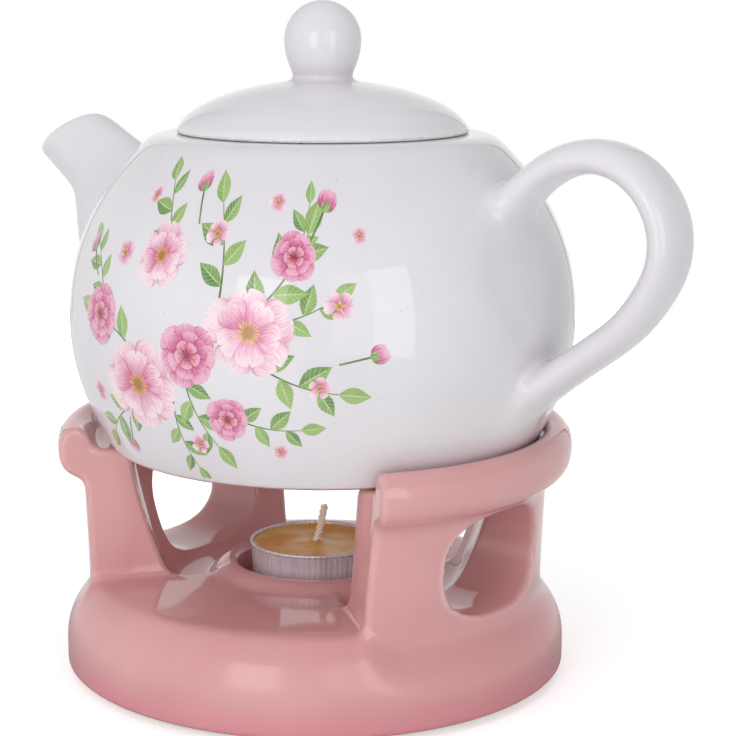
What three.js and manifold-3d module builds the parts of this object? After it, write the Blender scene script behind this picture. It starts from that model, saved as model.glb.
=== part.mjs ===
// Teapot on a candle warmer, in millimetres, with +Z up. The origin lies on the table under the
// middle of the warmer, +X points to the pot's handle and -X to its spout. The warmer is a thick
// base with two curved walls, whose upper edges form a collar. The pot's foot stands on the ledge
// inside the collar, the lid stands on the pot's top, and a tealight stands in a well in the base.

import * as THREE from 'three';
import { mergeVertices } from 'three/addons/utils/BufferGeometryUtils.js';
import Module from 'manifold-3d';

const wasm = await Module();
wasm.setup();

const DEGREE = Math.PI / 180;

// Clearances

const restGap = 0.05; // between a piece and what it rests on
const joinGap = 0.3; // between two pieces that are stuck together along a curved joint
const wellPlay = 2.5; // round the tealight in its well
const footPlay = 3.5; // round the pot's foot inside the collar
const lidPlay = 1.2; // round the lid's locating ring in the pot's mouth
const waxGap = 0.3; // between the wax and its cup
const wickGap = 0.3; // round the wick in the wax and in its holder

// Warmer base

const baseRadius = 73.2;
const baseFloor = 24.8; // height of the flat top that carries the walls
const shoulderWidth = 14.5; // of the big rounded edge
const shoulderDrop = 16; // height of the big rounded edge
const footOuterRadius = 60;
const footInnerRadius = 54;
const footRise = 3.4; // height of the curve from the foot to the widest part
const footThickness = 3.3; // height of the foot's inner edge
const baseWall = 6.5;
const floorThickness = 6.7;
const wellDepth = 4.5; // from the flat top to the well's floor
const wellBottomThickness = 5.8;
const wellTaper = 1.4; // the well is wider at its mouth by this much
const wellLipHeight = 6; // of the raised ring above the flat top
const wellLipWidth = 6; // from the ring's crest to its outer foot
const wellLipRound = 1.5; // radius of the ring's inner edge

// Warmer walls and collar

const wallInset = 7; // of the wall's foot from the base's widest part
const wallFootThickness = 22.5;
const wallFaceBow = 1.3; // of the wall's hollow inner face
const wallSocketDepth = 3.6; // the wall's foot sits this deep in the base
const wallCentres = { handleSide: 4.3, spoutSide: 184.3 }; // degrees from +X
const wallSpan = 93.5; // degrees
const windowHalfWidth = 21.6;
const windowTurns = { handleSide: -7.8, spoutSide: -8.8 }; // degrees, from the wall's middle
const windowSills = { handleSide: 3.1, spoutSide: 0.8 }; // from the base's flat top to the window
const windowHeadroom = 1.5; // from the window to the collar's lower edge
const windowSquareness = 2.6; // 2 is an ellipse, and more has fuller corners
const ledgeHeight = 66.5;
const footSeat = 3.5; // of the pot's foot that lies on the ledge
const ledgeRoundWidth = 3.6; // of the rounding under the ledge's inner edge
const ledgeRoundDrop = 5;
const rimHeight = 7; // of the rim above the ledge
const rimInset = 5.5; // from the ledge's outer edge to the rim's crest
const rimHalfWidth = 4.7;
const bulgeDrop = 6.5; // from the rim's top to the collar's widest part
const collarDepth = 15.5; // from the rim's top to the collar's lower edge
const collarOverhang = 2.7; // of the rim's crest past the wall's outer face
const collarFillet = 4; // height of the hollow curve under the collar

// Tealight

const cupRadius = 18.8;
const cupHeight = 16;
const cupTaper = 0.6;
const cupWall = 0.5;
const cupLip = 0.4;
const waxDrop = 1.9; // from the cup's edge down to the wax
const waxDip = 0.5; // of the wax between the wick and the cup
const waxDipRadius = 11;
const wickRadius = 1.1;
const wickLength = 12; // above the wax
const wickLean = 2.8; // sideways at the wick's tip
const wickLeanAngle = 36; // degrees from +X
const wickLeanPower = 0.7; // under 1, the wick leans most where it leaves the wax
const holderRadius = 7.5;
const holderThickness = 0.5;
const holderNeck = 3; // height of the holder's neck
const holderNeckWall = 0.5;

// Pot body

const potShiftX = 1.75; // the pot stands a little off the warmer's middle
const potShiftY = 1.3;
const potRadius = 72.1;
const potHalfHeight = 70.2; // of the egg shape that the body is cut from
const potMiddle = 37.4; // height of the widest part above the foot
const potHeight = 89.4;
const potWall = 4.5;
const potFootWidth = 9;
const potFootBevel = 1; // of the foot ring's inner edge
const potFootRecess = 2.4;
const potShoulderDrop = 14.3; // from the flat top to where the shoulder leaves the egg shape
const potShoulderBend = 7.4; // height of the shoulder's bend above there
const potTopRadius = 46.5; // of the flat top that carries the lid
const mouthRadius = 33.5;
const mouthDepth = 5.5;
const mouthSlope = 2.5;
const outletRadius = 9; // of the hole from the body into the spout
const outletHeight = 51;
const outletTilt = 22; // degrees above level

// Lid and knob

const lidRadius = 41.2;
const lidEdge = 2.2; // height of the rounded edge
const lidDomeHeight = 14.6;
const lidThickness = 4.4;
const lidEdgeThickness = 5.7;
const lidSink = 2.6; // the dome's ellipse has its middle this far under the seat
const lidRingDepth = 9.4;
const lidRingWall = 3.8;
const lidRingBevel = 1;
const lidSeatRound = 2; // of the lid's lower edge
const knobRadius = 10.9;
const knobMiddle = 11.8; // height of the ball's middle above the dome's top
const knobNeckRadius = 8.4;
const knobNeckHeight = 2.4;
const knobFootRadius = 9.8;

// Handle, a flat strap that follows a curve through points given as their distance past the body's
// widest radius and their height above the foot

const handleThickness = 9;
const handleWidth = 17.9;
const handleSquareness = 2.8; // of its section, 2 is an ellipse
const handleRootFlare = 4.5; // added to both at the ends
const handleRootShare = 0.16; // of the handle's length, at each end, over which it flares
const handlePath = [
  [-14, 66], [-3.2, 78.2], [6.5, 84.9], [16, 87], [25, 84.7], [32, 79], [35.9, 72.1],
  [37, 65], [35.8, 58.3], [32.5, 51.7], [26.8, 44.1], [18.6, 37.1], [8.6, 29.7], [-6, 19],
];

// Spout, as pairs of a point on its top line and one on its lower line, each given as its distance
// past the body's widest radius and its height above the foot, with half the spout's width there

const spoutWall = 3.8;
const spoutStations = [
  { top: [-23, 67.5], low: [-12, 27], half: 19 },
  { top: [-12, 76.9], low: [4, 32.5], half: 17.6 },
  { top: [-4, 81.6], low: [14.3, 42.5], half: 14.8 },
  { top: [3, 85.1], low: [17, 53.5], half: 12.2 },
  { top: [8.4, 87.9], low: [18.8, 64], half: 10.9 },
  { top: [12.8, 89.8], low: [25.2, 71], half: 10.4 },
  { top: [16.2, 90.6], low: [34.2, 78.3], half: 10.3 },
];

// Mesh fineness

const potSides = 40;
const warmerSides = 60;
const smallSides = 24;
const arcSteps = 7;
const windowSides = 40;

// Sizes that follow from those above

const wellFloor = baseFloor - wellDepth;
const potFootRadius = potRadius * Math.sqrt(1 - (potMiddle / potHalfHeight) ** 2);
const ledgeInnerRadius = potFootRadius - footSeat;
const ledgeOuterRadius = potFootRadius + footPlay;
const rimTop = ledgeHeight + rimHeight;
const rimMiddle = ledgeOuterRadius + rimInset;
const collarRadius = rimMiddle + rimHalfWidth;
const collarLow = rimTop - collarDepth;
const wallFootOuterRadius = baseRadius - wallInset;
const wallFootInnerRadius = wallFootOuterRadius - wallFootThickness;
const wallTopInnerRadius = ledgeInnerRadius - ledgeRoundWidth;

// Materials

const glaze = { roughness: 0.08, metalness: 0 };
const potWhite = () => new THREE.MeshStandardMaterial({ color: 0xe7e4e8, ...glaze });
const warmerPink = () => new THREE.MeshStandardMaterial({ color: 0xd69a9a, ...glaze });
const aluminium = () => new THREE.MeshStandardMaterial({ color: 0xb9b4ba, roughness: 0.3, metalness: 1 });
const steel = () => new THREE.MeshStandardMaterial({ color: 0xa8a8a8, roughness: 0.4, metalness: 1 });
const wax = () => new THREE.MeshStandardMaterial({ color: 0xc98a45, roughness: 0.45, metalness: 0 });
const cotton = () => new THREE.MeshStandardMaterial({ color: 0xe8d6b8, roughness: 0.9, metalness: 0 });

// Turns a closed three.js geometry into a solid for joining and cutting.
function toSolid(geometry) {
  const bare = geometry.clone();
  bare.deleteAttribute('normal');
  bare.deleteAttribute('uv');
  const merged = mergeVertices(bare, 1e-4);
  return new wasm.Manifold(new wasm.Mesh({
    numProp: 3,
    vertProperties: new Float32Array(merged.attributes.position.array),
    triVerts: dropThinTriangles(merged.index.array),
  }));
}

// Leaves out the triangles that a pole or a merged edge has closed up.
function dropThinTriangles(index) {
  const kept = [];
  for (let i = 0; i < index.length; i += 3) {
    const [a, b, c] = [index[i], index[i + 1], index[i + 2]];
    if (a !== b && b !== c && c !== a) kept.push(a, b, c);
  }
  return new Uint32Array(kept);
}

// Turns a solid back into a three.js geometry.
function toGeometry(solid) {
  const mesh = solid.getMesh();
  const geometry = new THREE.BufferGeometry();
  geometry.setAttribute('position', new THREE.BufferAttribute(new Float32Array(mesh.vertProperties), 3));
  geometry.setIndex(new THREE.BufferAttribute(new Uint32Array(mesh.triVerts), 1));
  geometry.computeVertexNormals();
  return geometry;
}

// Makes one named mesh.
function piece(name, solid, material) {
  const mesh = new THREE.Mesh(toGeometry(solid), material);
  mesh.name = name;
  return mesh;
}

// Turns a profile of [radius, height] points round the Z axis.
function turned(profile, sides) {
  const points = profile.map(([radius, height]) => new THREE.Vector2(radius, height));
  const geometry = new THREE.LatheGeometry(points, sides);
  geometry.rotateX(Math.PI / 2);
  return toSolid(geometry);
}

// Gives points on part of an ellipse, from one angle to another in degrees.
function arc(middleRadius, middleHeight, halfWidth, halfHeight, from, to, steps = arcSteps) {
  const points = [];
  for (let i = 0; i <= steps; i += 1) {
    const angle = (from + ((to - from) * i) / steps) * DEGREE;
    points.push([
      middleRadius + halfWidth * Math.cos(angle),
      middleHeight + halfHeight * Math.sin(angle),
    ]);
  }
  return points;
}

// Gives the angle, in degrees, at which an ellipse reaches a height above its middle.
function angleAtHeight(height, halfHeight) {
  return Math.asin(THREE.MathUtils.clamp(height / halfHeight, -1, 1)) / DEGREE;
}

// Gives the angle, in degrees, at which an ellipse reaches a distance from its axis.
function angleAtRadius(radius, halfWidth) {
  return Math.acos(THREE.MathUtils.clamp(radius / halfWidth, -1, 1)) / DEGREE;
}

// Makes a wedge about the Z axis, between two angles in degrees, past the collar and the base.
function wedge(from, to, low, high) {
  const radius = 2 * Math.max(collarRadius, baseRadius);
  const shape = new THREE.Shape();
  shape.moveTo(0, 0);
  for (const [x, y] of arc(0, 0, radius, radius, from, to)) {
    shape.lineTo(x, y);
  }
  shape.closePath();
  const geometry = new THREE.ExtrudeGeometry(shape, { depth: high - low, bevelEnabled: false });
  geometry.translate(0, 0, low);
  return toSolid(geometry);
}

// Draws a number between -1 and 1 outwards: a circle's coordinates become those of a fuller oval.
function fuller(value, squareness) {
  return Math.sign(value) * Math.abs(value) ** (2 / squareness);
}

// Bends a closed cylinder so that its rings lie on the stations that place(share) gives:
// a middle, and the two half axes of the ring there.
function bentCylinder(place, sides, steps, squareness = 2) {
  const geometry = new THREE.CylinderGeometry(1, 1, 1, sides, steps);
  const position = geometry.attributes.position;
  for (let i = 0; i < position.count; i += 1) {
    const station = place(position.getY(i) + 0.5);
    const point = station.middle.clone()
      .addScaledVector(station.first, fuller(position.getX(i), squareness))
      .addScaledVector(station.second, fuller(position.getZ(i), squareness));
    position.setXYZ(i, point.x, point.y, point.z);
  }
  return toSolid(geometry);
}

// Warmer base: a thick disc, hollow from below, with a foot ring, a well for the tealight with a
// raised lip, and two sockets for the feet of the walls.
function warmerBase() {
  const innerRadius = baseRadius - baseWall;
  const ceiling = baseFloor - floorThickness;
  const wellRadius = cupRadius + wellPlay;
  const wellCeiling = wellFloor - wellBottomThickness;
  const wellOuterRadius = wellRadius + wellBottomThickness;
  const lipCrestRadius = wellRadius + wellTaper + wellLipRound;
  const flatRadius = baseRadius - shoulderWidth;
  const shoulderLow = baseFloor - shoulderDrop;
  const lipEdge = baseFloor + wellLipHeight - wellLipRound;
  const profile = [
    [0, wellCeiling],
    [wellOuterRadius, wellCeiling],
    [wellOuterRadius, ceiling],
    [innerRadius - baseWall, ceiling],
    [innerRadius, shoulderLow],
    [innerRadius, footRise + footThickness],
    [footInnerRadius, footThickness],
    [footInnerRadius, 0],
    ...arc(footOuterRadius, footRise, baseRadius - footOuterRadius, footRise, -90, 0),
    ...arc(flatRadius, shoulderLow, shoulderWidth, shoulderDrop, 0, 90),
    ...arc(lipCrestRadius, baseFloor, wellLipWidth, wellLipHeight, 0, 90, 5),
    ...arc(lipCrestRadius, lipEdge, wellLipRound, wellLipRound, 120, 180, 2),
    [wellRadius, wellFloor],
    [0, wellFloor],
  ];
  let solid = turned(profile, warmerSides);
  for (const centre of Object.values(wallCentres)) {
    solid = solid.subtract(wallSocket(centre));
  }
  return solid;
}

// The socket in the base for one wall's foot, with the joint's gap all round.
function wallSocket(centre) {
  const bottom = baseFloor - wallSocketDepth;
  const top = baseFloor + wellLipHeight;
  const inner = wallFootInnerRadius - joinGap;
  const outer = wallFootOuterRadius + joinGap;
  const ring = turned([[inner, bottom], [outer, bottom], [outer, top], [inner, top], [inner, bottom]], warmerSides);
  const half = wallSpan / 2 + joinGap / wallFootInnerRadius / DEGREE;
  return ring.intersect(wedge(centre - half, centre + half, 0, top));
}

// One wall with its share of the collar: a leaning section turned round the axis, cut off at both
// ends and pierced by an oval window.
function warmerWall(side) {
  const centre = wallCentres[side];
  const foot = baseFloor - wallSocketDepth + restGap;
  const bulgeHeight = rimTop - bulgeDrop;
  const ledgeRoundLow = ledgeHeight - ledgeRoundDrop;
  const section = [
    [wallFootInnerRadius, foot],
    [wallFootOuterRadius, foot],
    ...arc(rimMiddle, collarLow - collarFillet, collarOverhang, collarFillet, 180, 105, 3),
    ...arc(rimMiddle, bulgeHeight, rimHalfWidth, bulgeHeight - collarLow, -80, 0, 5),
    ...arc(rimMiddle, bulgeHeight, rimHalfWidth, bulgeDrop, 20, 160, 7),
    [ledgeOuterRadius, ledgeHeight],
    ...arc(ledgeInnerRadius, ledgeRoundLow, ledgeRoundWidth, ledgeRoundDrop, 90, 180, 4),
    ...bowedFace(wallTopInnerRadius, ledgeRoundLow, wallFootInnerRadius, baseFloor, wallFaceBow),
    [wallFootInnerRadius, foot],
  ];
  const ring = turned(section, warmerSides);
  const cut = wedge(centre - wallSpan / 2, centre + wallSpan / 2, 0, rimTop * 2);
  return ring.intersect(cut).subtract(windowCutter(centre + windowTurns[side], windowSills[side]));
}

// Gives points down a face between two [radius, height] ends, bowed outwards, without its first end.
function bowedFace(topRadius, topHeight, lowRadius, lowHeight, bow) {
  const steps = 4;
  const points = [];
  for (let i = 1; i <= steps; i += 1) {
    const share = i / steps;
    points.push([
      THREE.MathUtils.lerp(topRadius, lowRadius, share) + 4 * bow * share * (1 - share),
      THREE.MathUtils.lerp(topHeight, lowHeight, share),
    ]);
  }
  return points;
}

// The bar that cuts a window, an oval with full corners, through a wall along one direction.
function windowCutter(direction, sill) {
  const bottom = baseFloor + sill;
  const halfHeight = (collarLow - windowHeadroom - bottom) / 2;
  const shape = new THREE.Shape();
  for (let i = 0; i < windowSides; i += 1) {
    const angle = (2 * Math.PI * i) / windowSides;
    const x = windowHalfWidth * fuller(Math.cos(angle), windowSquareness);
    const y = halfHeight * fuller(Math.sin(angle), windowSquareness);
    if (i === 0) shape.moveTo(x, y);
    else shape.lineTo(x, y);
  }
  shape.closePath();
  const geometry = new THREE.ExtrudeGeometry(shape, { depth: collarRadius, bevelEnabled: false });
  geometry.translate(0, 0, wallFootInnerRadius / 2);
  geometry.rotateX(Math.PI / 2);
  geometry.rotateZ((direction + 90) * DEGREE);
  geometry.translate(0, 0, bottom + halfHeight);
  return toSolid(geometry);
}

// Aluminium cup of the tealight, standing at height zero.
function candleCup() {
  return turned([
    [0, 0],
    [cupRadius - cupTaper, 0],
    [cupRadius, cupHeight - cupLip],
    [cupRadius + cupLip, cupHeight - cupLip / 2],
    [cupRadius + cupLip / 2, cupHeight],
    [cupRadius - cupWall, cupHeight - cupLip / 2],
    [cupRadius - cupTaper - cupWall, cupWall],
    [0, cupWall],
  ], smallSides);
}

// Wax in the cup, with a bore for the wick and a pocket for the wick's holder.
function candleWax() {
  const low = cupWall + restGap;
  const high = cupHeight - waxDrop;
  const pocketRadius = holderRadius + waxGap;
  const pocketTop = low + holderThickness + waxGap;
  const neckRadius = wickRadius + wickGap + holderNeckWall + waxGap;
  const neckTop = low + holderNeck + waxGap;
  const lowRadius = cupRadius - cupTaper - cupWall - waxGap;
  return turned([
    [pocketRadius, low],
    [lowRadius, low],
    [lowRadius + cupTaper * 0.75, high],
    [waxDipRadius, high - waxDip],
    [wickRadius + wickGap, high],
    [wickRadius + wickGap, neckTop],
    [neckRadius, neckTop],
    [neckRadius, pocketTop],
    [pocketRadius, pocketTop],
    [pocketRadius, low],
  ], smallSides);
}

// Steel disc with a neck that holds the wick at the bottom of the cup.
function wickHolder() {
  const low = cupWall + restGap;
  const bore = wickRadius + wickGap;
  return turned([
    [0, low],
    [holderRadius, low],
    [holderRadius, low + holderThickness],
    [bore + holderNeckWall, low + holderThickness],
    [bore + holderNeckWall, low + holderNeck],
    [bore, low + holderNeck],
    [bore, low + holderThickness],
    [0, low + holderThickness],
  ], smallSides);
}

// Wick: straight inside the wax, then leaning over.
function candleWick() {
  const low = cupWall + 2 * restGap + holderThickness;
  const surface = cupHeight - waxDrop;
  const lean = new THREE.Vector3(
    Math.cos(wickLeanAngle * DEGREE),
    Math.sin(wickLeanAngle * DEGREE),
    0,
  );
  const height = surface + wickLength - low;
  const place = (share) => {
    const above = (Math.max(0, share * height + low - surface) / wickLength) ** wickLeanPower;
    return {
      middle: new THREE.Vector3(0, 0, low + share * height).addScaledVector(lean, wickLean * above),
      first: new THREE.Vector3(0, wickRadius, 0),
      second: new THREE.Vector3(wickRadius, 0, 0),
    };
  };
  return bentCylinder(place, 8, 8);
}

// Outline of the pot's body from its foot to the edge of its flat top, grown by a margin: part of
// an egg shape, and a shoulder that bends in to the flat top.
function potOutline(margin) {
  const radius = potRadius + margin;
  const half = potHalfHeight + margin;
  const leaving = potHeight - potShoulderDrop;
  const leavingAngle = angleAtHeight(leaving - potMiddle, half);
  const slope = (radius / half) * Math.tan(leavingAngle * DEGREE);
  const start = new THREE.Vector2(radius * Math.cos(leavingAngle * DEGREE), leaving);
  const bend = new THREE.Vector2(start.x - slope * potShoulderBend, leaving + potShoulderBend);
  const edge = new THREE.Vector2(potTopRadius + margin, potHeight + margin);
  const shoulder = new THREE.QuadraticBezierCurve(start, bend, edge).getPoints(5).slice(1);
  return [
    ...arc(0, potMiddle, radius, half, angleAtHeight(-potMiddle, half), leavingAngle, 13),
    ...shoulder.map(({ x, y }) => [x, y]),
  ];
}

// The pot's body without its hollow, grown by a margin, for cutting what meets it.
function potPlug(margin) {
  const outline = potOutline(margin);
  const top = outline[outline.length - 1][1];
  return turned([[0, outline[0][1]], ...outline, [0, top]], potSides);
}

// Pot body: a hollow egg shape with a foot ring, a flat top with the mouth in it, and the outlet
// into the spout.
function potBody() {
  const innerHalf = potHalfHeight - potWall;
  const innerFloor = potFootRecess + potWall;
  const innerTop = potHeight - mouthDepth - mouthSlope;
  const floorAngle = angleAtHeight(innerFloor - potMiddle, innerHalf);
  const ceilingAngle = angleAtHeight(innerTop - potMiddle, innerHalf);
  const footInner = potFootRadius - potFootWidth;
  const profile = [
    [0, potFootRecess],
    [footInner - potFootBevel, potFootRecess],
    [footInner, 0],
    ...potOutline(0),
    [mouthRadius, potHeight],
    [mouthRadius, potHeight - mouthDepth],
    ...arc(0, potMiddle, potRadius - potWall, innerHalf, ceilingAngle, floorAngle, 10),
    [0, innerFloor],
  ];
  return turned(profile, potSides).subtract(outletCutter());
}

// The round bar that cuts the outlet through the body's wall towards the spout.
function outletCutter() {
  const length = potWall * 6;
  const geometry = new THREE.CylinderGeometry(outletRadius, outletRadius, length, 20);
  geometry.rotateZ((90 - outletTilt) * DEGREE);
  geometry.translate(-potRadius, 0, outletHeight);
  return toSolid(geometry);
}

// Runs a smooth curve through numbers given at even shares of the way.
function smoothThrough(points) {
  const curve = new THREE.CatmullRomCurve3(points, false, 'centripetal');
  return (share) => curve.getPoint(share);
}

// The spout's outer shape, or its channel when its walls are taken off.
function spoutForm(wall, overrun) {
  const pointFor = ([beyond, up]) => new THREE.Vector3(-potRadius - beyond, 0, up);
  const tops = spoutStations.map(({ top }) => pointFor(top));
  const lows = spoutStations.map(({ low }) => pointFor(low));
  const halves = spoutStations.map(({ half }, i) => new THREE.Vector3(i, half, 0));
  const mouthLine = tops[tops.length - 1].clone().sub(lows[lows.length - 1]);
  const along = new THREE.Vector3(-mouthLine.z, 0, mouthLine.x).normalize();
  const topAt = smoothThrough(tops);
  const lowAt = smoothThrough(lows);
  const halfAt = smoothThrough(halves);
  const place = (share) => {
    const top = topAt(share);
    const low = lowAt(share);
    const half = top.clone().sub(low).multiplyScalar(0.5);
    const middle = top.clone().add(low).multiplyScalar(0.5);
    if (share === 1) middle.addScaledVector(along, overrun);
    return {
      middle,
      first: new THREE.Vector3(0, halfAt(share).y - wall, 0),
      second: half.clone().setLength(half.length() - wall),
    };
  };
  return bentCylinder(place, 22, 12);
}

// Spout: its outer shape less its channel and less the pot's body.
function spout() {
  return spoutForm(0, 0).subtract(spoutForm(spoutWall, spoutWall)).subtract(potPlug(joinGap));
}

// Handle: a flat strap along its path, wider and thicker at its two roots.
function handle() {
  const curve = new THREE.CatmullRomCurve3(
    handlePath.map(([beyond, up]) => new THREE.Vector3(potRadius + beyond, 0, up)),
    false,
    'centripetal',
  );
  const place = (share) => {
    const tangent = curve.getTangentAt(share);
    const normal = new THREE.Vector3(tangent.z, 0, -tangent.x);
    const root = Math.max(0, 1 - Math.min(share, 1 - share) / handleRootShare) ** 2;
    return {
      middle: curve.getPointAt(share),
      first: new THREE.Vector3(0, (handleWidth + handleRootFlare * root) / 2, 0),
      second: normal.multiplyScalar((handleThickness + handleRootFlare * root) / 2),
    };
  };
  return bentCylinder(place, 16, 30, handleSquareness).subtract(potPlug(joinGap));
}

// Lid: a dome with a rounded edge, a flat seat and a locating ring that hangs in the pot's mouth.
function lidCap() {
  const half = lidDomeHeight + lidSink;
  const ringRadius = mouthRadius - lidPlay;
  const ringInnerRadius = ringRadius - lidRingWall;
  const topAngle = angleAtRadius(knobFootRadius, lidRadius);
  const edgeAngle = angleAtHeight(lidEdge + lidSink, half);
  const innerHalfWidth = lidRadius - lidEdgeThickness;
  const innerHalf = half - lidThickness;
  const innerAngle = angleAtRadius(ringInnerRadius, innerHalfWidth);
  const top = half * Math.sin(topAngle * DEGREE) - lidSink;
  return turned([
    [0, innerHalf - lidSink],
    ...arc(0, -lidSink, innerHalfWidth, innerHalf, 80, innerAngle, 6),
    [ringInnerRadius, -lidRingDepth],
    [ringRadius - lidRingBevel, -lidRingDepth],
    [ringRadius, lidRingBevel - lidRingDepth],
    [ringRadius, 0],
    ...arc(lidRadius - lidSeatRound, lidSeatRound, lidSeatRound, lidSeatRound, -90, -20, 2),
    ...arc(0, -lidSink, lidRadius, half, edgeAngle, topAngle, 9),
    [0, top],
  ], potSides);
}

// Height of the lid's flat top, where the knob stands, above the lid's seat.
function lidTop() {
  const half = lidDomeHeight + lidSink;
  return half * Math.sin(angleAtRadius(knobFootRadius, lidRadius) * DEGREE) - lidSink;
}

// Knob: a ball that draws in to a short neck.
function lidKnob() {
  const neckDrop = (knobMiddle - knobNeckHeight) / Math.sqrt(1 - (knobNeckRadius / knobRadius) ** 2);
  const neckAngle = -angleAtRadius(knobNeckRadius, knobRadius);
  return turned([
    [0, 0],
    [knobFootRadius, 0],
    [(knobNeckRadius + knobFootRadius) / 2, knobNeckHeight / 3],
    ...arc(0, knobMiddle, knobRadius, neckDrop, neckAngle, 0, 6),
    ...arc(0, knobMiddle, knobRadius, knobRadius, 12, 84, 6),
    [0, knobMiddle + knobRadius],
  ], smallSides);
}

// The scene graph: the warmer in its own place, the tealight in its well, the pot on its ledge and
// the lid on the pot.

const warmer = new THREE.Group();
warmer.add(piece('warmer_base', warmerBase(), warmerPink()));
warmer.add(piece('wall_handle_side', warmerWall('handleSide'), warmerPink()));
warmer.add(piece('wall_spout_side', warmerWall('spoutSide'), warmerPink()));

const tealight = new THREE.Group();
tealight.position.set(0, 0, wellFloor + restGap);
tealight.add(piece('candle_cup', candleCup(), aluminium()));
tealight.add(piece('candle_wax', candleWax(), wax()));
tealight.add(piece('wick_holder', wickHolder(), steel()));
tealight.add(piece('candle_wick', candleWick(), cotton()));

const lid = new THREE.Group();
lid.position.set(0, 0, potHeight + restGap);
lid.add(piece('lid_cap', lidCap(), potWhite()));
const knob = piece('lid_knob', lidKnob(), potWhite());
knob.position.set(0, 0, lidTop() + restGap);
lid.add(knob);

const pot = new THREE.Group();
pot.position.set(potShiftX, potShiftY, ledgeHeight + restGap);
pot.add(piece('teapot_body', potBody(), potWhite()));
pot.add(piece('spout', spout(), potWhite()));
pot.add(piece('handle', handle(), potWhite()));
pot.add(lid);

const teapotWithWarmer = new THREE.Group();
teapotWithWarmer.add(warmer, tealight, pot);

export default teapotWithWarmer;
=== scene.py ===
import logging
import math
from dataclasses import dataclass, field
from enum import Enum
from typing import Callable, Sequence

import bmesh
import bpy
import numpy as np
from bpy.types import Material, Mesh, Node, NodeSocket, NodeTree, Object, Scene
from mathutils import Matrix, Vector


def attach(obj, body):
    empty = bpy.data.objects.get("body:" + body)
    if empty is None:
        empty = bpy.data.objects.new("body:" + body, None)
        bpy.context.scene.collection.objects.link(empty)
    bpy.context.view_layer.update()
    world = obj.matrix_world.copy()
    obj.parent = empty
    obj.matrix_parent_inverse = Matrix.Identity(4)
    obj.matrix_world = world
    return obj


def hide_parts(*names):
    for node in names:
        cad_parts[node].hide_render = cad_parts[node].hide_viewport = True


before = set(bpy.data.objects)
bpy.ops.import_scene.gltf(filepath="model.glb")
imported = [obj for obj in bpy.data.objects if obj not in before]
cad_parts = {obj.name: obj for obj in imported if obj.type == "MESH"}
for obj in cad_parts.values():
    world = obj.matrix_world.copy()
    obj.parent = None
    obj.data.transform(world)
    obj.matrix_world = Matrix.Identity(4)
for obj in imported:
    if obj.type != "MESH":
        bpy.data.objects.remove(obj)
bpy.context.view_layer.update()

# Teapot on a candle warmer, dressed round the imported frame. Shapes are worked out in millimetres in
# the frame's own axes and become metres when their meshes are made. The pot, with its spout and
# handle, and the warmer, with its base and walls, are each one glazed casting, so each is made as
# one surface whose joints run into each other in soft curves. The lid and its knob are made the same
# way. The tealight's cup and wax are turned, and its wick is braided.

MM = 0.001
LOG = logging.getLogger("teapot_with_warmer")

Array = np.ndarray
Field = Callable[[Array], Array]
Pair = tuple[float, float]
Triple = tuple[float, float, float]
Colour = tuple[float, float, float]


class Body(Enum):
    """The bodies of the frame that the pieces ride on."""

    WARMER = "warmer"
    TEALIGHT = "tealight"
    TEAPOT = "teapot"
    LID = "lid"


# Curves and fields

TINY = 1e-9  # keeps divisions away from zero
PROBE = 1e-4  # step along a line's run by which its slopes are taken
FILLET_SPREAD = 1.75  # width of a soft join's blend zone, over its radius
SHADE_REACH = 4.0  # how far from a hollow the glaze is painted darker as shade, in millimetres
HIGHLIGHT_REACH = 2.0  # how far from an edge the glaze is painted lighter as a highlight


def soft_min(a: Array, b: Array, radius: float) -> Array:
    """Joins two fields with a hollow fillet.

    Args:
        a: Signed distances to the first shape.
        b: Signed distances to the second shape.
        radius: About the fillet's radius.

    Returns:
        Signed distances to the joined shape.
    """
    spread = FILLET_SPREAD * radius
    share = np.maximum(spread - np.abs(a - b), 0) / spread
    return np.minimum(a, b) - share**3 * spread / 6


def soft_max(a: Array, b: Array, radius: float) -> Array:
    """Keeps what two fields share, with a rounded edge of about the radius."""
    return -soft_min(-a, -b, radius)


def ease(value: Array) -> Array:
    """Runs smoothly from 0 to 1 as the value does."""
    share = np.clip(value, 0, 1)
    return share * share * (3 - 2 * share)


def oval_distance(
    across: Array,
    up: Array,
    half_width: Array,
    half_height: Array,
    squareness: float = 2.0,
) -> Array:
    """Gives about the distance to an oval.

    Args:
        across: First coordinate from the oval's middle.
        up: Second coordinate from the oval's middle.
        half_width: Half the oval's size along the first coordinate.
        half_height: Half its size along the second.
        squareness: 2 is an ellipse, and more has fuller corners.

    Returns:
        Distances, negative inside.
    """
    a = np.abs(across) / half_width + TINY
    b = np.abs(up) / half_height + TINY
    scaled = (a**squareness + b**squareness) ** (1 / squareness)
    slope = scaled ** (1 - squareness) * np.hypot(
        a ** (squareness - 1) / half_width, b ** (squareness - 1) / half_height
    )
    return (scaled - 1) / slope


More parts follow.
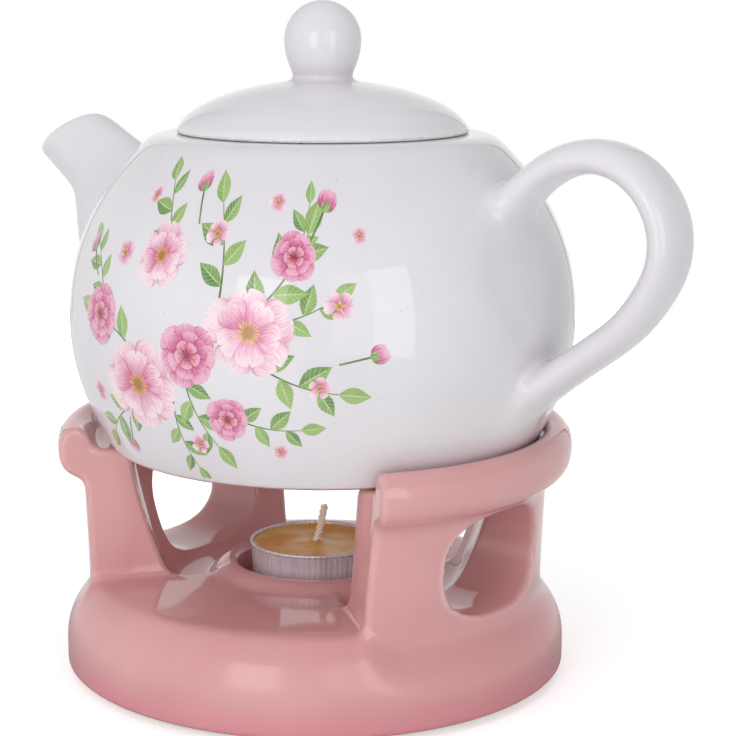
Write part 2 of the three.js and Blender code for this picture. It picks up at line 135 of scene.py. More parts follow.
class SmoothLine:
    """A natural cubic spline through points, run from 0 at the first to 1 at the last."""

    def __init__(self, points: Sequence[Sequence[float]], knots: Array | None = None) -> None:
        """Solves the spline.

        Args:
            points: The points that the line runs through.
            knots: Where each point lies on the run; by their distances apart when left out.
        """
        self.points = np.asarray(points, float)
        if knots is None:
            steps = np.linalg.norm(np.diff(self.points, axis=0), axis=1)
            knots = np.concatenate([[0], np.cumsum(steps)]) / steps.sum()
        self.knots = knots
        count = len(knots)
        gaps = np.diff(knots)
        matrix = np.eye(count)
        right = np.zeros_like(self.points)
        for i in range(1, count - 1):
            matrix[i, i - 1 : i + 2] = gaps[i - 1], 2 * (gaps[i - 1] + gaps[i]), gaps[i]
            ahead = (self.points[i + 1] - self.points[i]) / gaps[i]
            behind = (self.points[i] - self.points[i - 1]) / gaps[i - 1]
            right[i] = 6 * (ahead - behind)
        self.bends = np.linalg.solve(matrix, right)

    def at(self, share: Array) -> Array:
        """Gives the line's points at shares of its run.

        Args:
            share: The shares.

        Returns:
            The points.
        """
        share = np.asarray(share, float)
        low = np.clip(np.searchsorted(self.knots, share, side="right") - 1, 0, len(self.knots) - 2)
        gap = (self.knots[low + 1] - self.knots[low])[..., None]
        ahead = (self.knots[low + 1] - share)[..., None] / gap
        behind = 1 - ahead
        curve = (ahead**3 - ahead) * self.bends[low] + (behind**3 - behind) * self.bends[low + 1]
        return ahead * self.points[low] + behind * self.points[low + 1] + curve * gap**2 / 6

    def slope(self, share: Array) -> Array:
        """Gives the line's direction at shares of its run, not scaled to any length.

        Args:
            share: The shares.

        Returns:
            The directions.
        """
        low = np.clip(np.asarray(share, float) - PROBE, 0, 1)
        high = np.clip(np.asarray(share, float) + PROBE, 0, 1)
        return self.at(high) - self.at(low)


@dataclass
class PlanarSweep:
    """An oval section carried along a line in the XZ plane.

    Attributes:
        centre: The line of the section's middle, as (x, z).
        reach: The section's half axis in the plane, as (x, z), on the same knots.
        half_width: Half the section's size across the plane, on the same knots.
        squareness: Of the section.
        capped_end: Whether the shape ends at its last section, as it does at its first.
        margin: How far from the line's box the field is worked out.
        samples: How many sections each point is first compared with.
        far: The distance that is given beyond the margin.
        end_part: The share of the run that an end can cut.
    """

    centre: SmoothLine
    reach: SmoothLine
    half_width: SmoothLine
    squareness: float
    capped_end: bool = False
    margin: float = 34.0
    samples: int = 61
    far: float = 30.0
    end_part: float = 0.4

    def share_of(self, x: Array, z: Array) -> Array:
        """Finds the section that each point of the plane lies on.

        Args:
            x: First coordinates.
            z: Second coordinates.

        Returns:
            The section's share of the run, from 0 to 1.
        """
        shares = np.linspace(0, 1, self.samples)
        centre = self.centre.at(shares)
        reach = self.reach.at(shares)
        dx = x[:, None] - centre[None, :, 0]
        dz = z[:, None] - centre[None, :, 1]
        side = dx * reach[None, :, 1] - dz * reach[None, :, 0]
        away = dx * dx + dz * dz
        crossing = side[:, :-1] * side[:, 1:] <= 0
        cost = np.where(crossing, np.minimum(away[:, :-1], away[:, 1:]), np.inf)
        pick = np.argmin(cost, axis=1)
        rows = np.arange(len(x))
        first, second = side[rows, pick], side[rows, pick + 1]
        step = shares[1]
        found = shares[pick] + step * first / np.where(first == second, 1, first - second)
        ends = np.where(away[:, 0] < away[:, -1], 0.0, 1.0)
        share = np.where(np.isinf(cost[rows, pick]), ends, found)
        least = 1e-3
        for _ in range(2):
            here = self._side(x, z, share)
            change = (self._side(x, z, np.clip(share + PROBE, 0, 1)) - here) / PROBE
            inside = (share > least) & (share < 1 - least) & (np.abs(change) > least)
            move = np.clip(here / np.where(inside, change, 1), -step, step)
            share = np.clip(np.where(inside, share - move, share), 0, 1)
        return share

    def _side(self, x: Array, z: Array, share: Array) -> Array:
        """Tells how far, and on which side, points lie of their section's line."""
        centre, reach = self.centre.at(share), self.reach.at(share)
        return (x - centre[:, 0]) * reach[:, 1] - (z - centre[:, 1]) * reach[:, 0]

    def __call__(self, points: Array, wall: float = 0.0) -> Array:
        """Gives about the distance to the swept shape.

        Args:
            points: Where it is wanted.
            wall: How far the shape's surface is taken in.

        Returns:
            The distances, negative inside.
        """
        x, y, z = points.T
        low = self.centre.points.min(axis=0) - self.margin
        high = self.centre.points.max(axis=0) + self.margin
        result = np.full(len(points), self.far)
        near = (x > low[0]) & (x < high[0]) & (z > low[1]) & (z < high[1]) & (np.abs(y) < self.margin)
        close = points[near]
        if not len(close):
            return result
        share = self.share_of(close[:, 0], close[:, 2])
        centre, reach = self.centre.at(share), self.reach.at(share)
        length = np.linalg.norm(reach, axis=1)
        along = (close[:, 0] - centre[:, 0]) * reach[:, 0] + (close[:, 2] - centre[:, 1]) * reach[:, 1]
        half = self.half_width.at(share)[:, 0]
        shape = oval_distance(along / length, close[:, 1], length - wall, half - wall, self.squareness)
        result[near] = np.maximum(shape, self.beyond_ends(close, share))
        return result

    def beyond_ends(self, points: Array, share: Array) -> Array:
        """Gives the distance beyond the first section, and beyond the last where it is capped.

        Args:
            points: Where it is wanted.
            share: The section that each point lies on.

        Returns:
            The distances, negative before the ends.
        """
        past = np.full(len(points), -self.far)
        for end, ahead in ((0.0, -1.0), (1.0, 1.0))[: 2 if self.capped_end else 1]:
            way = self.centre.slope(np.array([end]))[0]
            reach = self.reach.at(np.array([end]))[0]
            square = np.array([-reach[1], reach[0]]) / np.linalg.norm(reach)
            square *= ahead * math.copysign(1.0, float(square @ way))
            start = self.centre.at(np.array([end]))[0]
            over = (points[:, 0] - start[0]) * square[0] + (points[:, 2] - start[1]) * square[1]
            past = np.where(np.abs(share - end) < self.end_part, np.maximum(past, over), past)
        return past


# Meshes

CHUNKS = 12  # parts that a grid's field is worked out in, to save memory
OWN_SHARE, NEAR_SHARE = 0.45, 0.55  # of a point's own place and its neighbours' in an evened net
LEAST_SLOPE = 0.05  # the least squared slope that a pull on a point is shared out over

CORNERS = np.array([(i, j, k) for i in (0, 1) for j in (0, 1) for k in (0, 1)])
EDGES = [(a, b) for a in range(8) for b in range(a + 1, 8) if np.abs(CORNERS[a] - CORNERS[b]).sum() == 1]


@dataclass
class Surface:
    """A mesh on its way: points in millimetres, faces, and what each point carries."""

    points: Array
    faces: Array
    normals: Array | None = None
    layers: dict[str, Array] = field(default_factory=dict)

    def to_object(self, name: str, material: Material) -> Object:
        """Makes a Blender object, in metres, at the origin.

        Args:
            name: The object's name.
            material: Its material.

        Returns:
            The object, in the scene.
        """
        mesh = bpy.data.meshes.new(name)
        mesh.from_pydata((self.points * MM).tolist(), [], self.faces.tolist())
        mesh.polygons.foreach_set("use_smooth", np.ones(len(self.faces), bool))
        for label, values in self.layers.items():
            carried = mesh.attributes.new(label, "FLOAT", "POINT")
            carried.data.foreach_set("value", values.astype(np.float32))
        mesh.materials.append(material)
        if self.normals is not None:
            mesh.normals_split_custom_set_from_vertices(self.normals.tolist())
        obj = bpy.data.objects.new(name, mesh)
        bpy.context.scene.collection.objects.link(obj)
        return obj


def net_of(field_of: Field, low: Sequence[float], high: Sequence[float], step: float) -> Surface:
    """Finds the surface where a field is zero, as a net of four-sided faces.

    Args:
        field_of: The field, negative inside.
        low: Lowest corner of the box to search, in millimetres.
        high: Highest corner.
        step: Size of the net's cells.

    Returns:
        The surface, with its points near the zero surface.
    """
    axes = [np.arange(a, b + step, step) for a, b in zip(low, high)]
    shape = tuple(len(axis) for axis in axes)
    grid = np.stack(np.meshgrid(*axes, indexing="ij"), axis=-1).reshape(-1, 3)
    values = np.concatenate([field_of(part) for part in np.array_split(grid, CHUNKS)]).reshape(shape)
    inside = values < 0
    cells = tuple(n - 1 for n in shape)
    corner_values = []
    total = np.zeros(cells, int)
    for i, j, k in CORNERS:
        window = (slice(i, i + cells[0]), slice(j, j + cells[1]), slice(k, k + cells[2]))
        corner_values.append(values[window])
        total += inside[window]
    active = (total > 0) & (total < 8)
    places = np.argwhere(active)
    corners = np.stack([part[active] for part in corner_values], axis=1)
    middle = np.zeros((len(places), 3))
    count = np.zeros(len(places))
    for a, b in EDGES:
        cut = (corners[:, a] < 0) != (corners[:, b] < 0)
        gap = np.where(cut, corners[:, a] - corners[:, b], 1)
        share = np.where(cut, corners[:, a] / gap, 0)[:, None]
        middle += np.where(cut[:, None], CORNERS[a] + share * (CORNERS[b] - CORNERS[a]), 0)
        count += cut
    points = np.array([axis[0] for axis in axes]) + (places + middle / count[:, None]) * step
    index = np.full(cells, -1)
    index[active] = np.arange(len(places))
    faces = [quads_across(inside, index, axis) for axis in range(3)]
    return Surface(points, np.concatenate(faces))


def quads_across(inside: Array, index: Array, axis: int) -> Array:
    """Joins the four cells round each grid edge, along one axis, that the surface cuts.

    Args:
        inside: Which grid corners lie inside.
        index: The point number of each cell.
        axis: The axis that the edges run along.

    Returns:
        Faces of four point numbers, turned outwards.
    """
    order = [axis, (axis + 1) % 3, (axis + 2) % 3]
    state = np.transpose(inside, order)
    cell = np.transpose(index, order)
    start, end = state[:-1, 1:-1, 1:-1], state[1:, 1:-1, 1:-1]
    a, b = cell[:, :-1, :-1], cell[:, 1:, :-1]
    c, d = cell[:, 1:, 1:], cell[:, :-1, 1:]
    leaving = start & ~end
    entering = ~start & end
    outward = np.stack([a[leaving], b[leaving], c[leaving], d[leaving]], axis=1)
    inward = np.stack([a[entering], d[entering], c[entering], b[entering]], axis=1)
    return np.concatenate([outward, inward])


def slope_of(field_of: Field, points: Array, step: float = 0.03) -> Array:
    """Gives a field's slope at points, by small steps along each axis.

    Args:
        field_of: The field.
        points: Where the slope is wanted.
        step: How far each step goes to either side.

    Returns:
        The slopes.
    """
    slope = np.empty_like(points)
    for axis in range(3):
        shift = np.zeros(3)
        shift[axis] = step
        slope[:, axis] = (field_of(points + shift) - field_of(points - shift)) / (2 * step)
    return slope


def settle(surface: Surface, field_of: Field, rounds: int = 4, reach: float = 1.0) -> None:
    """Evens out a net and draws its points onto the zero surface, then keeps the surface's normals.

    Args:
        surface: The net, which is changed.
        field_of: The field.
        rounds: How often it is evened out.
        reach: The furthest that a point is drawn at a time.
    """
    faces = surface.faces
    pairs = np.concatenate([faces[:, [i, (i + 1) % 4]] for i in range(4)])
    count = len(surface.points)
    degree = np.bincount(pairs[:, 0], minlength=count) + np.bincount(pairs[:, 1], minlength=count)
    for turn in range(rounds + 2):
        if turn < rounds:
            total = np.empty_like(surface.points)
            for axis in range(3):
                values = surface.points[:, axis]
                total[:, axis] = np.bincount(pairs[:, 0], values[pairs[:, 1]], count)
                total[:, axis] += np.bincount(pairs[:, 1], values[pairs[:, 0]], count)
            surface.points = OWN_SHARE * surface.points + NEAR_SHARE * total / degree[:, None]
        slope = slope_of(field_of, surface.points)
        size = np.maximum((slope**2).sum(axis=1), LEAST_SLOPE)
        pull = np.clip(field_of(surface.points) / size, -reach, reach)
        surface.points = surface.points - slope * pull[:, None]
    slope = slope_of(field_of, surface.points)
    surface.normals = slope / np.maximum(np.linalg.norm(slope, axis=1), TINY)[:, None]


def add_painted_light_layers(surface: Surface, field_of: Field) -> None:
    """Works out where shade is painted into hollows and a highlight onto edges.

    Args:
        surface: The surface, which gets the layers "hollow", for painted shade in hollows, and "edge", for a
            painted highlight over edges, each from 0 to 1.
        field_of: The field that the surface belongs to.
    """
    outside = field_of(surface.points + surface.normals * SHADE_REACH) / SHADE_REACH
    inside = -field_of(surface.points - surface.normals * HIGHLIGHT_REACH) / HIGHLIGHT_REACH
    surface.layers["hollow"] = np.clip(1 - outside, 0, 1)
    surface.layers["edge"] = np.clip(1 - inside, 0, 1)


def ring_faces(rings: int, sides: int, start: int = 0) -> list[tuple[int, int, int, int]]:
    """Joins rings of points, each to the next, with four-sided faces.

    Args:
        rings: How many rings there are.
        sides: How many points each has.
        start: The first point's number.

    Returns:
        The faces.
    """
    faces = []
    for i in range(rings - 1):
        low, high = start + i * sides, start + (i + 1) * sides
        for j in range(sides):
            k = (j + 1) % sides
            faces.append((low + j, low + k, high + k, high + j))
    return faces


def turned(profile: Sequence[Sequence[float]], sides: int, foot: float) -> Surface:
    """Turns an outline round the Z axis.

    Args:
        profile: Points as (radius, height), starting and ending on the axis, or closed on itself.
        sides: How many steps the turn has.
        foot: The height that the outline's own heights start from.

    Returns:
        The surface, with open poles whose points lie on one another.
    """
    outline = np.asarray(profile, float)
    angles = np.linspace(0, 2 * math.pi, sides, endpoint=False)
    rings = np.empty((len(outline), sides, 3))
    rings[..., 0] = outline[:, :1] * np.cos(angles)
    rings[..., 1] = outline[:, :1] * np.sin(angles)
    rings[..., 2] = outline[:, 1:] + foot
    return Surface(rings.reshape(-1, 3), np.array(ring_faces(len(outline), sides)))


def arc(middle: Pair, half: Pair, start: float, end: float, steps: int) -> list[Pair]:
    """Gives points on part of an ellipse.

    Args:
        middle: The ellipse's middle, as (radius, height).
        half: Its two half axes.
        start: The first angle, in degrees.
        end: The last angle.
        steps: How many steps lie between them.

    Returns:
        The points as (radius, height).
    """
    angles = np.radians(np.linspace(start, end, steps + 1))
    return [(middle[0] + half[0] * math.cos(a), middle[1] + half[1] * math.sin(a)) for a in angles]


def bend(start: Pair, corner: Pair, end: Pair, steps: int) -> list[Pair]:
    """Gives points on a curve between two points.

    Args:
        start: The first point.
        corner: The point that both ends of the curve head for.
        end: The last point.
        steps: How many steps lie between them.

    Returns:
        The points.
    """
    points = []
    for t in (i / steps for i in range(steps + 1)):
        parts = zip(start, corner, end)
        points.append(tuple((1 - t) ** 2 * a + 2 * t * (1 - t) * b + t * t * c for a, b, c in parts))
    return points


def close_up(obj: Object) -> None:
    """Merges the points that meet at an outline's poles, and turns all faces outwards.

    Args:
        obj: The turned piece.
    """
    work = bmesh.new()
    work.from_mesh(obj.data)
    bmesh.ops.remove_doubles(work, verts=work.verts, dist=1e-7)
    bmesh.ops.dissolve_degenerate(work, edges=work.edges, dist=1e-8)
    bmesh.ops.recalc_face_normals(work, faces=work.faces)
    work.to_mesh(obj.data)
    work.free()


def hand_over(obj: Object, body: Body, slot: str, nodes: Sequence[str] = ()) -> None:
    """Makes a finished piece ride and lets it stand for its nodes.

    Args:
        obj: The piece.
        body: The body that it rides on.
        slot: Its material slot in the record; not used.
        nodes: The frame's nodes that it stands for.
    """
    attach(obj, body.value)
    if nodes:
        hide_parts(*nodes)
    points, faces = len(obj.data.vertices), len(obj.data.polygons)
    LOG.info("%s rides on %s: %d points, %d faces", obj.name, body.value, points, faces)


# Node trees


class Value:
    """What a node gives. Where it is a number, it takes part in sums as plain numbers do."""

    def __init__(self, nodes: "Nodes", socket: NodeSocket) -> None:
        """Keeps a node's output.

        Args:
            nodes: The builder of the output's tree.
            socket: The output.
        """
        self.nodes = nodes
        self.socket = socket

    def __add__(self, other: object) -> "Value":
        """Adds a number."""
        return self.nodes.math("ADD", self, other)

    def __sub__(self, other: object) -> "Value":
        """Takes a number away."""
        return self.nodes.math("SUBTRACT", self, other)

    def __rsub__(self, other: object) -> "Value":
        """Takes this away from a number."""
        return self.nodes.math("SUBTRACT", other, self)

    def __mul__(self, other: object) -> "Value":
        """Multiplies with a number."""
        return self.nodes.math("MULTIPLY", self, other)

    def __pow__(self, other: object) -> "Value":
        """Raises this to a power."""
        return self.nodes.math("POWER", self, other)

    def __abs__(self) -> "Value":
        """Drops the sign."""
        return self.nodes.math("ABSOLUTE", self)


class Nodes:
    """Adds nodes to a tree and links them."""

    def __init__(self, tree: NodeTree) -> None:
        """Takes the tree to build in."""
        self.tree = tree

    def add(self, kind: str, *values: object, **settings: object) -> Node:
        """Adds a node, sets its properties and feeds its first shown inputs in order.

        Args:
            kind: The node's type.
            values: What its inputs get; None leaves one as it is.
            settings: The node's properties.

        Returns:
            The node.
        """
        node = self.tree.nodes.new(kind)
        for name, value in settings.items():
            setattr(node, name, value)
        shown = [socket for socket in node.inputs if socket.enabled]
        for socket, value in zip(shown, values):
            self.feed(socket, value)
        return node

    def make(self, kind: str, *values: object, **settings: object) -> Value:
        """Adds a node as add does, and gives its first shown output."""
        node = self.add(kind, *values, **settings)
        return Value(self, next(socket for socket in node.outputs if socket.enabled))

    def feed(self, socket: NodeSocket, value: object) -> None:
        """Links an input to what a node gives, or sets it.

        Args:
            socket: The input.
            value: A node's value or a plain one; None leaves the input as it is.
        """
        if isinstance(value, Value):
            self.tree.links.new(value.socket, socket)
        elif value is not None:
            socket.default_value = value

    def pick(self, node: Node, name: str) -> Value:
        """Gives one of a node's outputs by its name."""
        return Value(self, node.outputs[name])

    def math(self, operation: str, *values: object) -> Value:
        """Works out one number from one to three others."""
        return self.make("ShaderNodeMath", *values, operation=operation)

    def vector(self, x: object = 0.0, y: object = 0.0, z: object = 0.0) -> Value:
        """Puts three numbers together."""
        return self.make("ShaderNodeCombineXYZ", x, y, z)

    def split(self, vector: Value) -> list[Value]:
        """Takes a vector's three numbers apart."""
        return [Value(self, socket) for socket in self.add("ShaderNodeSeparateXYZ", vector).outputs]

    def remap(self, value: Value, low: float, high: float, start: object = 0.0, end: object = 1.0) -> Value:
        """Runs smoothly from a start to an end while a value goes from low to high."""
        return self.make("ShaderNodeMapRange", value, low, high, start, end, interpolation_type="SMOOTHSTEP")

    def rays(self) -> tuple[Value, Value]:
        """Tells which rays come straight from the camera, and which have been mirrored.

        Returns:
            Two numbers, each 1 for such a ray and 0 for the others.
        """
        path = self.add("ShaderNodeLightPath")
        direct = (self.pick(path, name) for name in ("Is Camera Ray", "Is Transmission Ray"))
        return self.math("MAXIMUM", *direct), self.pick(path, "Is Glossy Ray")


# Finishes


def rgba(colour: Colour) -> tuple[float, float, float, float]:
    """Turns a screen colour, of 0 to 255, into the linear colour that shaders take."""
    linear = [c / 255 / 12.92 if c <= 10.3 else ((c / 255 + 0.055) / 1.055) ** 2.4 for c in colour]
    return (*linear, 1.0)


class Shader(Nodes):
    """Builds one material's nodes."""

    def __init__(self, name: str) -> None:
        """Starts a material with a plain shader.

        Args:
            name: The material's name.
        """
        self.material = bpy.data.materials.new(name)
        self.material.use_nodes = True
        super().__init__(self.material.node_tree)
        self.shader = self.tree.nodes["Principled BSDF"]
        self.place = self.pick(self.add("ShaderNodeTexCoord"), "Object")

    def noise(self, scale: float, detail: float = 2.0, at: Value | None = None) -> Value:
        """Gives a soft noise over the object, from about 0 to 1."""
        return self.make("ShaderNodeTexNoise", at or self.place, scale, detail)

    def scaled(self, factors: Triple) -> Value:
        """Gives the object's places, stretched along its axes."""
        return self.make("ShaderNodeVectorMath", self.place, factors, operation="MULTIPLY")

    def carried(self, name: str) -> Value:
        """Gives a number that the mesh carries."""
        return self.pick(self.add("ShaderNodeAttribute", attribute_name=name), "Fac")

    def mix(self, share: Value, first: Value | Colour, second: Value | Colour) -> Value:
        """Mixes two colours."""
        colours = (colour if isinstance(colour, Value) else rgba(colour) for colour in (first, second))
        return self.make("ShaderNodeMix", share, *colours, data_type="RGBA")

    def bump(self, height: Value, strength: float, distance_mm: float) -> None:
        """Raises the surface's shading by a height.

        Args:
            height: The height, from 0 to 1.
            strength: How much of it shows.
            distance_mm: What a height of 1 stands for.
        """
        node = self.add("ShaderNodeBump", strength, distance_mm * MM)
        self.feed(node.inputs["Height"], height)
        self.set(Normal=self.pick(node, "Normal"))

    def gloss(self, roughness: object) -> None:
        """Gives the shader a glaze's gloss, with the slight waves of a dipped surface."""
        self.bump(self.noise(34, 1) + self.noise(150, 1) * 0.12, 0.6, 0.22)
        self.set(Roughness=roughness, IOR=1.58)

    def set(self, **values: object) -> None:
        """Sets inputs of the plain shader, by names with _ for spaces."""
        for name, value in values.items():
            self.feed(self.shader.inputs[name.replace("_", " ")], value)


@dataclass(frozen=True)
class Glaze:
    """A glossy glaze, with painted shade in hollows and a painted highlight over edges.

    Attributes:
        name: The material's name.
        colour: Its usual colour, 0 to 255.
        mottle_and_shade: Its colour in random mottles, and its painted shade in hollows.
        edge_highlight: Its painted highlight over edges.
        foot_top_mm: Height up to which the foot shows bare clay.
        foot: The bare clay's colour, which the specks have too.
        foot_roughness: The bare clay's roughness.
        low_reflection: Its colour low on the side, a painted magenta reflection.
        low_reflection_top_mm: Height up to which that reflection is painted; 0 for nowhere.
        roughness: Of its gloss.
        low_roughness: Of its gloss at the foot.
        low_top_mm: Height where the usual gloss begins.
        low_blend_mm: Height over which the gloss of the foot passes into it.
        speck_share: How much of it the fine specks darken.
    """

    name: str
    colour: Colour
    # colour of random mottles, and of painted shade in hollows
    mottle_and_shade: Colour
    # colour of the painted highlight over edges
    edge_highlight: Colour
    foot_top_mm: float
    foot: Colour = (176, 150, 130)
    foot_roughness: float = 0.7
    # colour of a painted magenta reflection low on the side
    low_reflection: Colour = (222, 138, 152)
    low_reflection_top_mm: float = 0.0
    roughness: float = 0.05
    low_roughness: float = 0.05
    low_top_mm: float = 22.0
    low_blend_mm: float = 16.0
    speck_share: float = 0.25

    def build(self) -> Material:
        """Builds the material.

        Returns:
            The material.
        """
        s = Shader(self.name)
        body = s.mix(s.remap(s.noise(22, 3), 0.3, 0.75, 0.0, 0.35), self.colour, self.mottle_and_shade)
        # Painted shade: hollows are darkened by the "hollow" layer.
        body = s.mix(s.remap(s.carried("hollow"), 0.08, 0.75, 0.0, 0.8), body, self.mottle_and_shade)
        # Painted highlight: edges are lightened by the "edge" layer.
        body = s.mix(s.remap(s.carried("edge"), 0.15, 0.8, 0.0, 0.7), body, self.edge_highlight)
        speck = s.remap(s.make("ShaderNodeTexVoronoi", s.place, 260), 0.05, 0.11, self.speck_share, 0.0)
        body = s.mix(speck * s.remap(s.noise(95, 0), 0.66, 0.70), body, self.foot)
        height = s.split(s.place)[2]
        # Painted reflection: a magenta tint low on the side, fading out upwards.
        if self.low_reflection_top_mm:
            run = s.noise(30, 2) * (6 * MM) + height
            body = s.mix(s.remap(run, 4 * MM, self.low_reflection_top_mm * MM, 0.75, 0.0), body, self.low_reflection)
        ragged = s.noise(160, 2) * (0.5 * MM) + height
        bare = s.remap(ragged, (self.foot_top_mm + 0.1) * MM, (self.foot_top_mm + 0.5) * MM, 1.0, 0.0)
        low, high = (self.low_top_mm - self.low_blend_mm) * MM, self.low_top_mm * MM
        glossy = s.remap(height, low, high, self.low_roughness, self.roughness)
        s.gloss(s.remap(bare, 0.3, 0.7, glossy, self.foot_roughness))
        s.set(Base_Color=s.mix(bare, body, self.foot))
        return s.material


@dataclass(frozen=True)
class Foil:
    """Pressed aluminium foil with fine dents and a drawn grain."""

    name: str = "cup_foil"
    colour: Colour = (248, 243, 249)
    dull: Colour = (226, 216, 226)
    spot: Colour = (120, 106, 112)

    def build(self) -> Material:
        """Builds the material.

        Returns:
            The material.
        """
        s = Shader(self.name)
        grain = s.noise(55, 3, s.scaled((6, 6, 0.6)))
        metal = s.mix(s.remap(grain, 0.3, 0.75), self.colour, self.dull)
        spots = s.remap(s.noise(420, 1), 0.72, 0.76, 0.0, 0.3)
        s.set(Base_Color=s.mix(spots, metal, self.spot), Metallic=0.4)
        s.set(Roughness=s.remap(grain, 0.3, 0.8, 0.24, 0.4))
        s.bump(s.noise(90, 2), 0.3, 0.1)
        return s.material


@dataclass(frozen=True)
class Wax:
    """Amber wax, cloudy and a little translucent, with a softly pitted surface."""

    name: str = "candle_wax"
    colour: Colour = (255, 204, 108)
    deep: Colour = (250, 178, 84)
    glow_radius: Triple = (0.004, 0.002, 0.001)

    def build(self) -> Material:
        """Builds the material.

        Returns:
            The material.
        """
        s = Shader(self.name)
        cloud = s.remap(s.noise(120, 4), 0.35, 0.7)
        s.set(Base_Color=s.mix(cloud, self.colour, self.deep), Roughness=s.remap(cloud, 0.0, 1.0, 0.3, 0.5))
        s.set(Subsurface_Weight=0.35, Subsurface_Radius=self.glow_radius, Subsurface_Scale=1.0, IOR=1.44)
        s.bump(s.noise(180, 4), 0.5, 0.3)
        return s.material


@dataclass(frozen=True)
class Cotton:
    """Waxed cotton, with fibres along each strand."""

    name: str = "wick_cotton"
    colour: Colour = (254, 248, 236)
    dark: Colour = (246, 234, 212)

    def build(self) -> Material:
        """Builds the material.

        Returns:
            The material.
        """
        s = Shader(self.name)
        fibre = s.noise(900, 3, s.scaled((1, 1, 0.3)))
        s.set(Base_Color=s.mix(s.remap(fibre, 0.35, 0.7), self.colour, self.dark), Roughness=0.75)
        s.bump(fibre, 0.6, 0.1)
        return s.material


@dataclass(frozen=True)
class Tin:
    """Tinned sheet steel with a rolled grain and faint blotches."""

    name: str = "holder_steel"
    colour: Colour = (190, 190, 188)
    blotch: Colour = (140, 138, 134)

    def build(self) -> Material:
        """Builds the material.

        Returns:
            The material.
        """
        s = Shader(self.name)
        grain = s.noise(300, 2, s.scaled((1, 12, 1)))
        s.set(Base_Color=s.mix(s.noise(200, 3), self.colour, self.blotch), Metallic=1.0)
        s.set(Roughness=s.remap(grain, 0.3, 0.8, 0.28, 0.5))
        s.bump(grain, 0.3, 0.05)
        return s.material


# The castings


class Casting:
    """A glazed piece that is cast in one, in the shape that its class gives as a field.

    Attributes:
        name: The object's name.
        body: The body that it rides on.
        slot: Its material slot in the record.
        nodes: The frame's nodes that it stands for.
        box_low: Lowest corner of a box round it, in its own axes.
        box_high: Highest corner of that box.
        step: Size of its net's cells.
        origin: Where its own axes start.
    """

    name: str
    body: Body
    slot: str
    nodes: tuple[str, ...]
    box_low: Triple
    box_high: Triple
    step: float
    origin: Triple = (0.0, 0.0, 0.0)

    def field_of(self, points: Array) -> Array:
        """Gives the piece's field at points in its own axes."""
        raise NotImplementedError

    def build(self, glaze: Material) -> None:
        """Builds the piece, with its painted shade and highlight layers, and hands it over.

        Args:
            glaze: Its material.
        """
        surface = net_of(self.field_of, self.box_low, self.box_high, self.step)
        settle(surface, self.field_of)
        add_painted_light_layers(surface, self.field_of)
        surface.points = surface.points + np.array(self.origin)
        hand_over(surface.to_object(self.name, glaze), self.body, self.slot, self.nodes)


@dataclass
class Wall:
    """One wall of the warmer, by its directions in degrees and its window's sill in millimetres."""

    centre: float
    window_turn: float
    sill: float


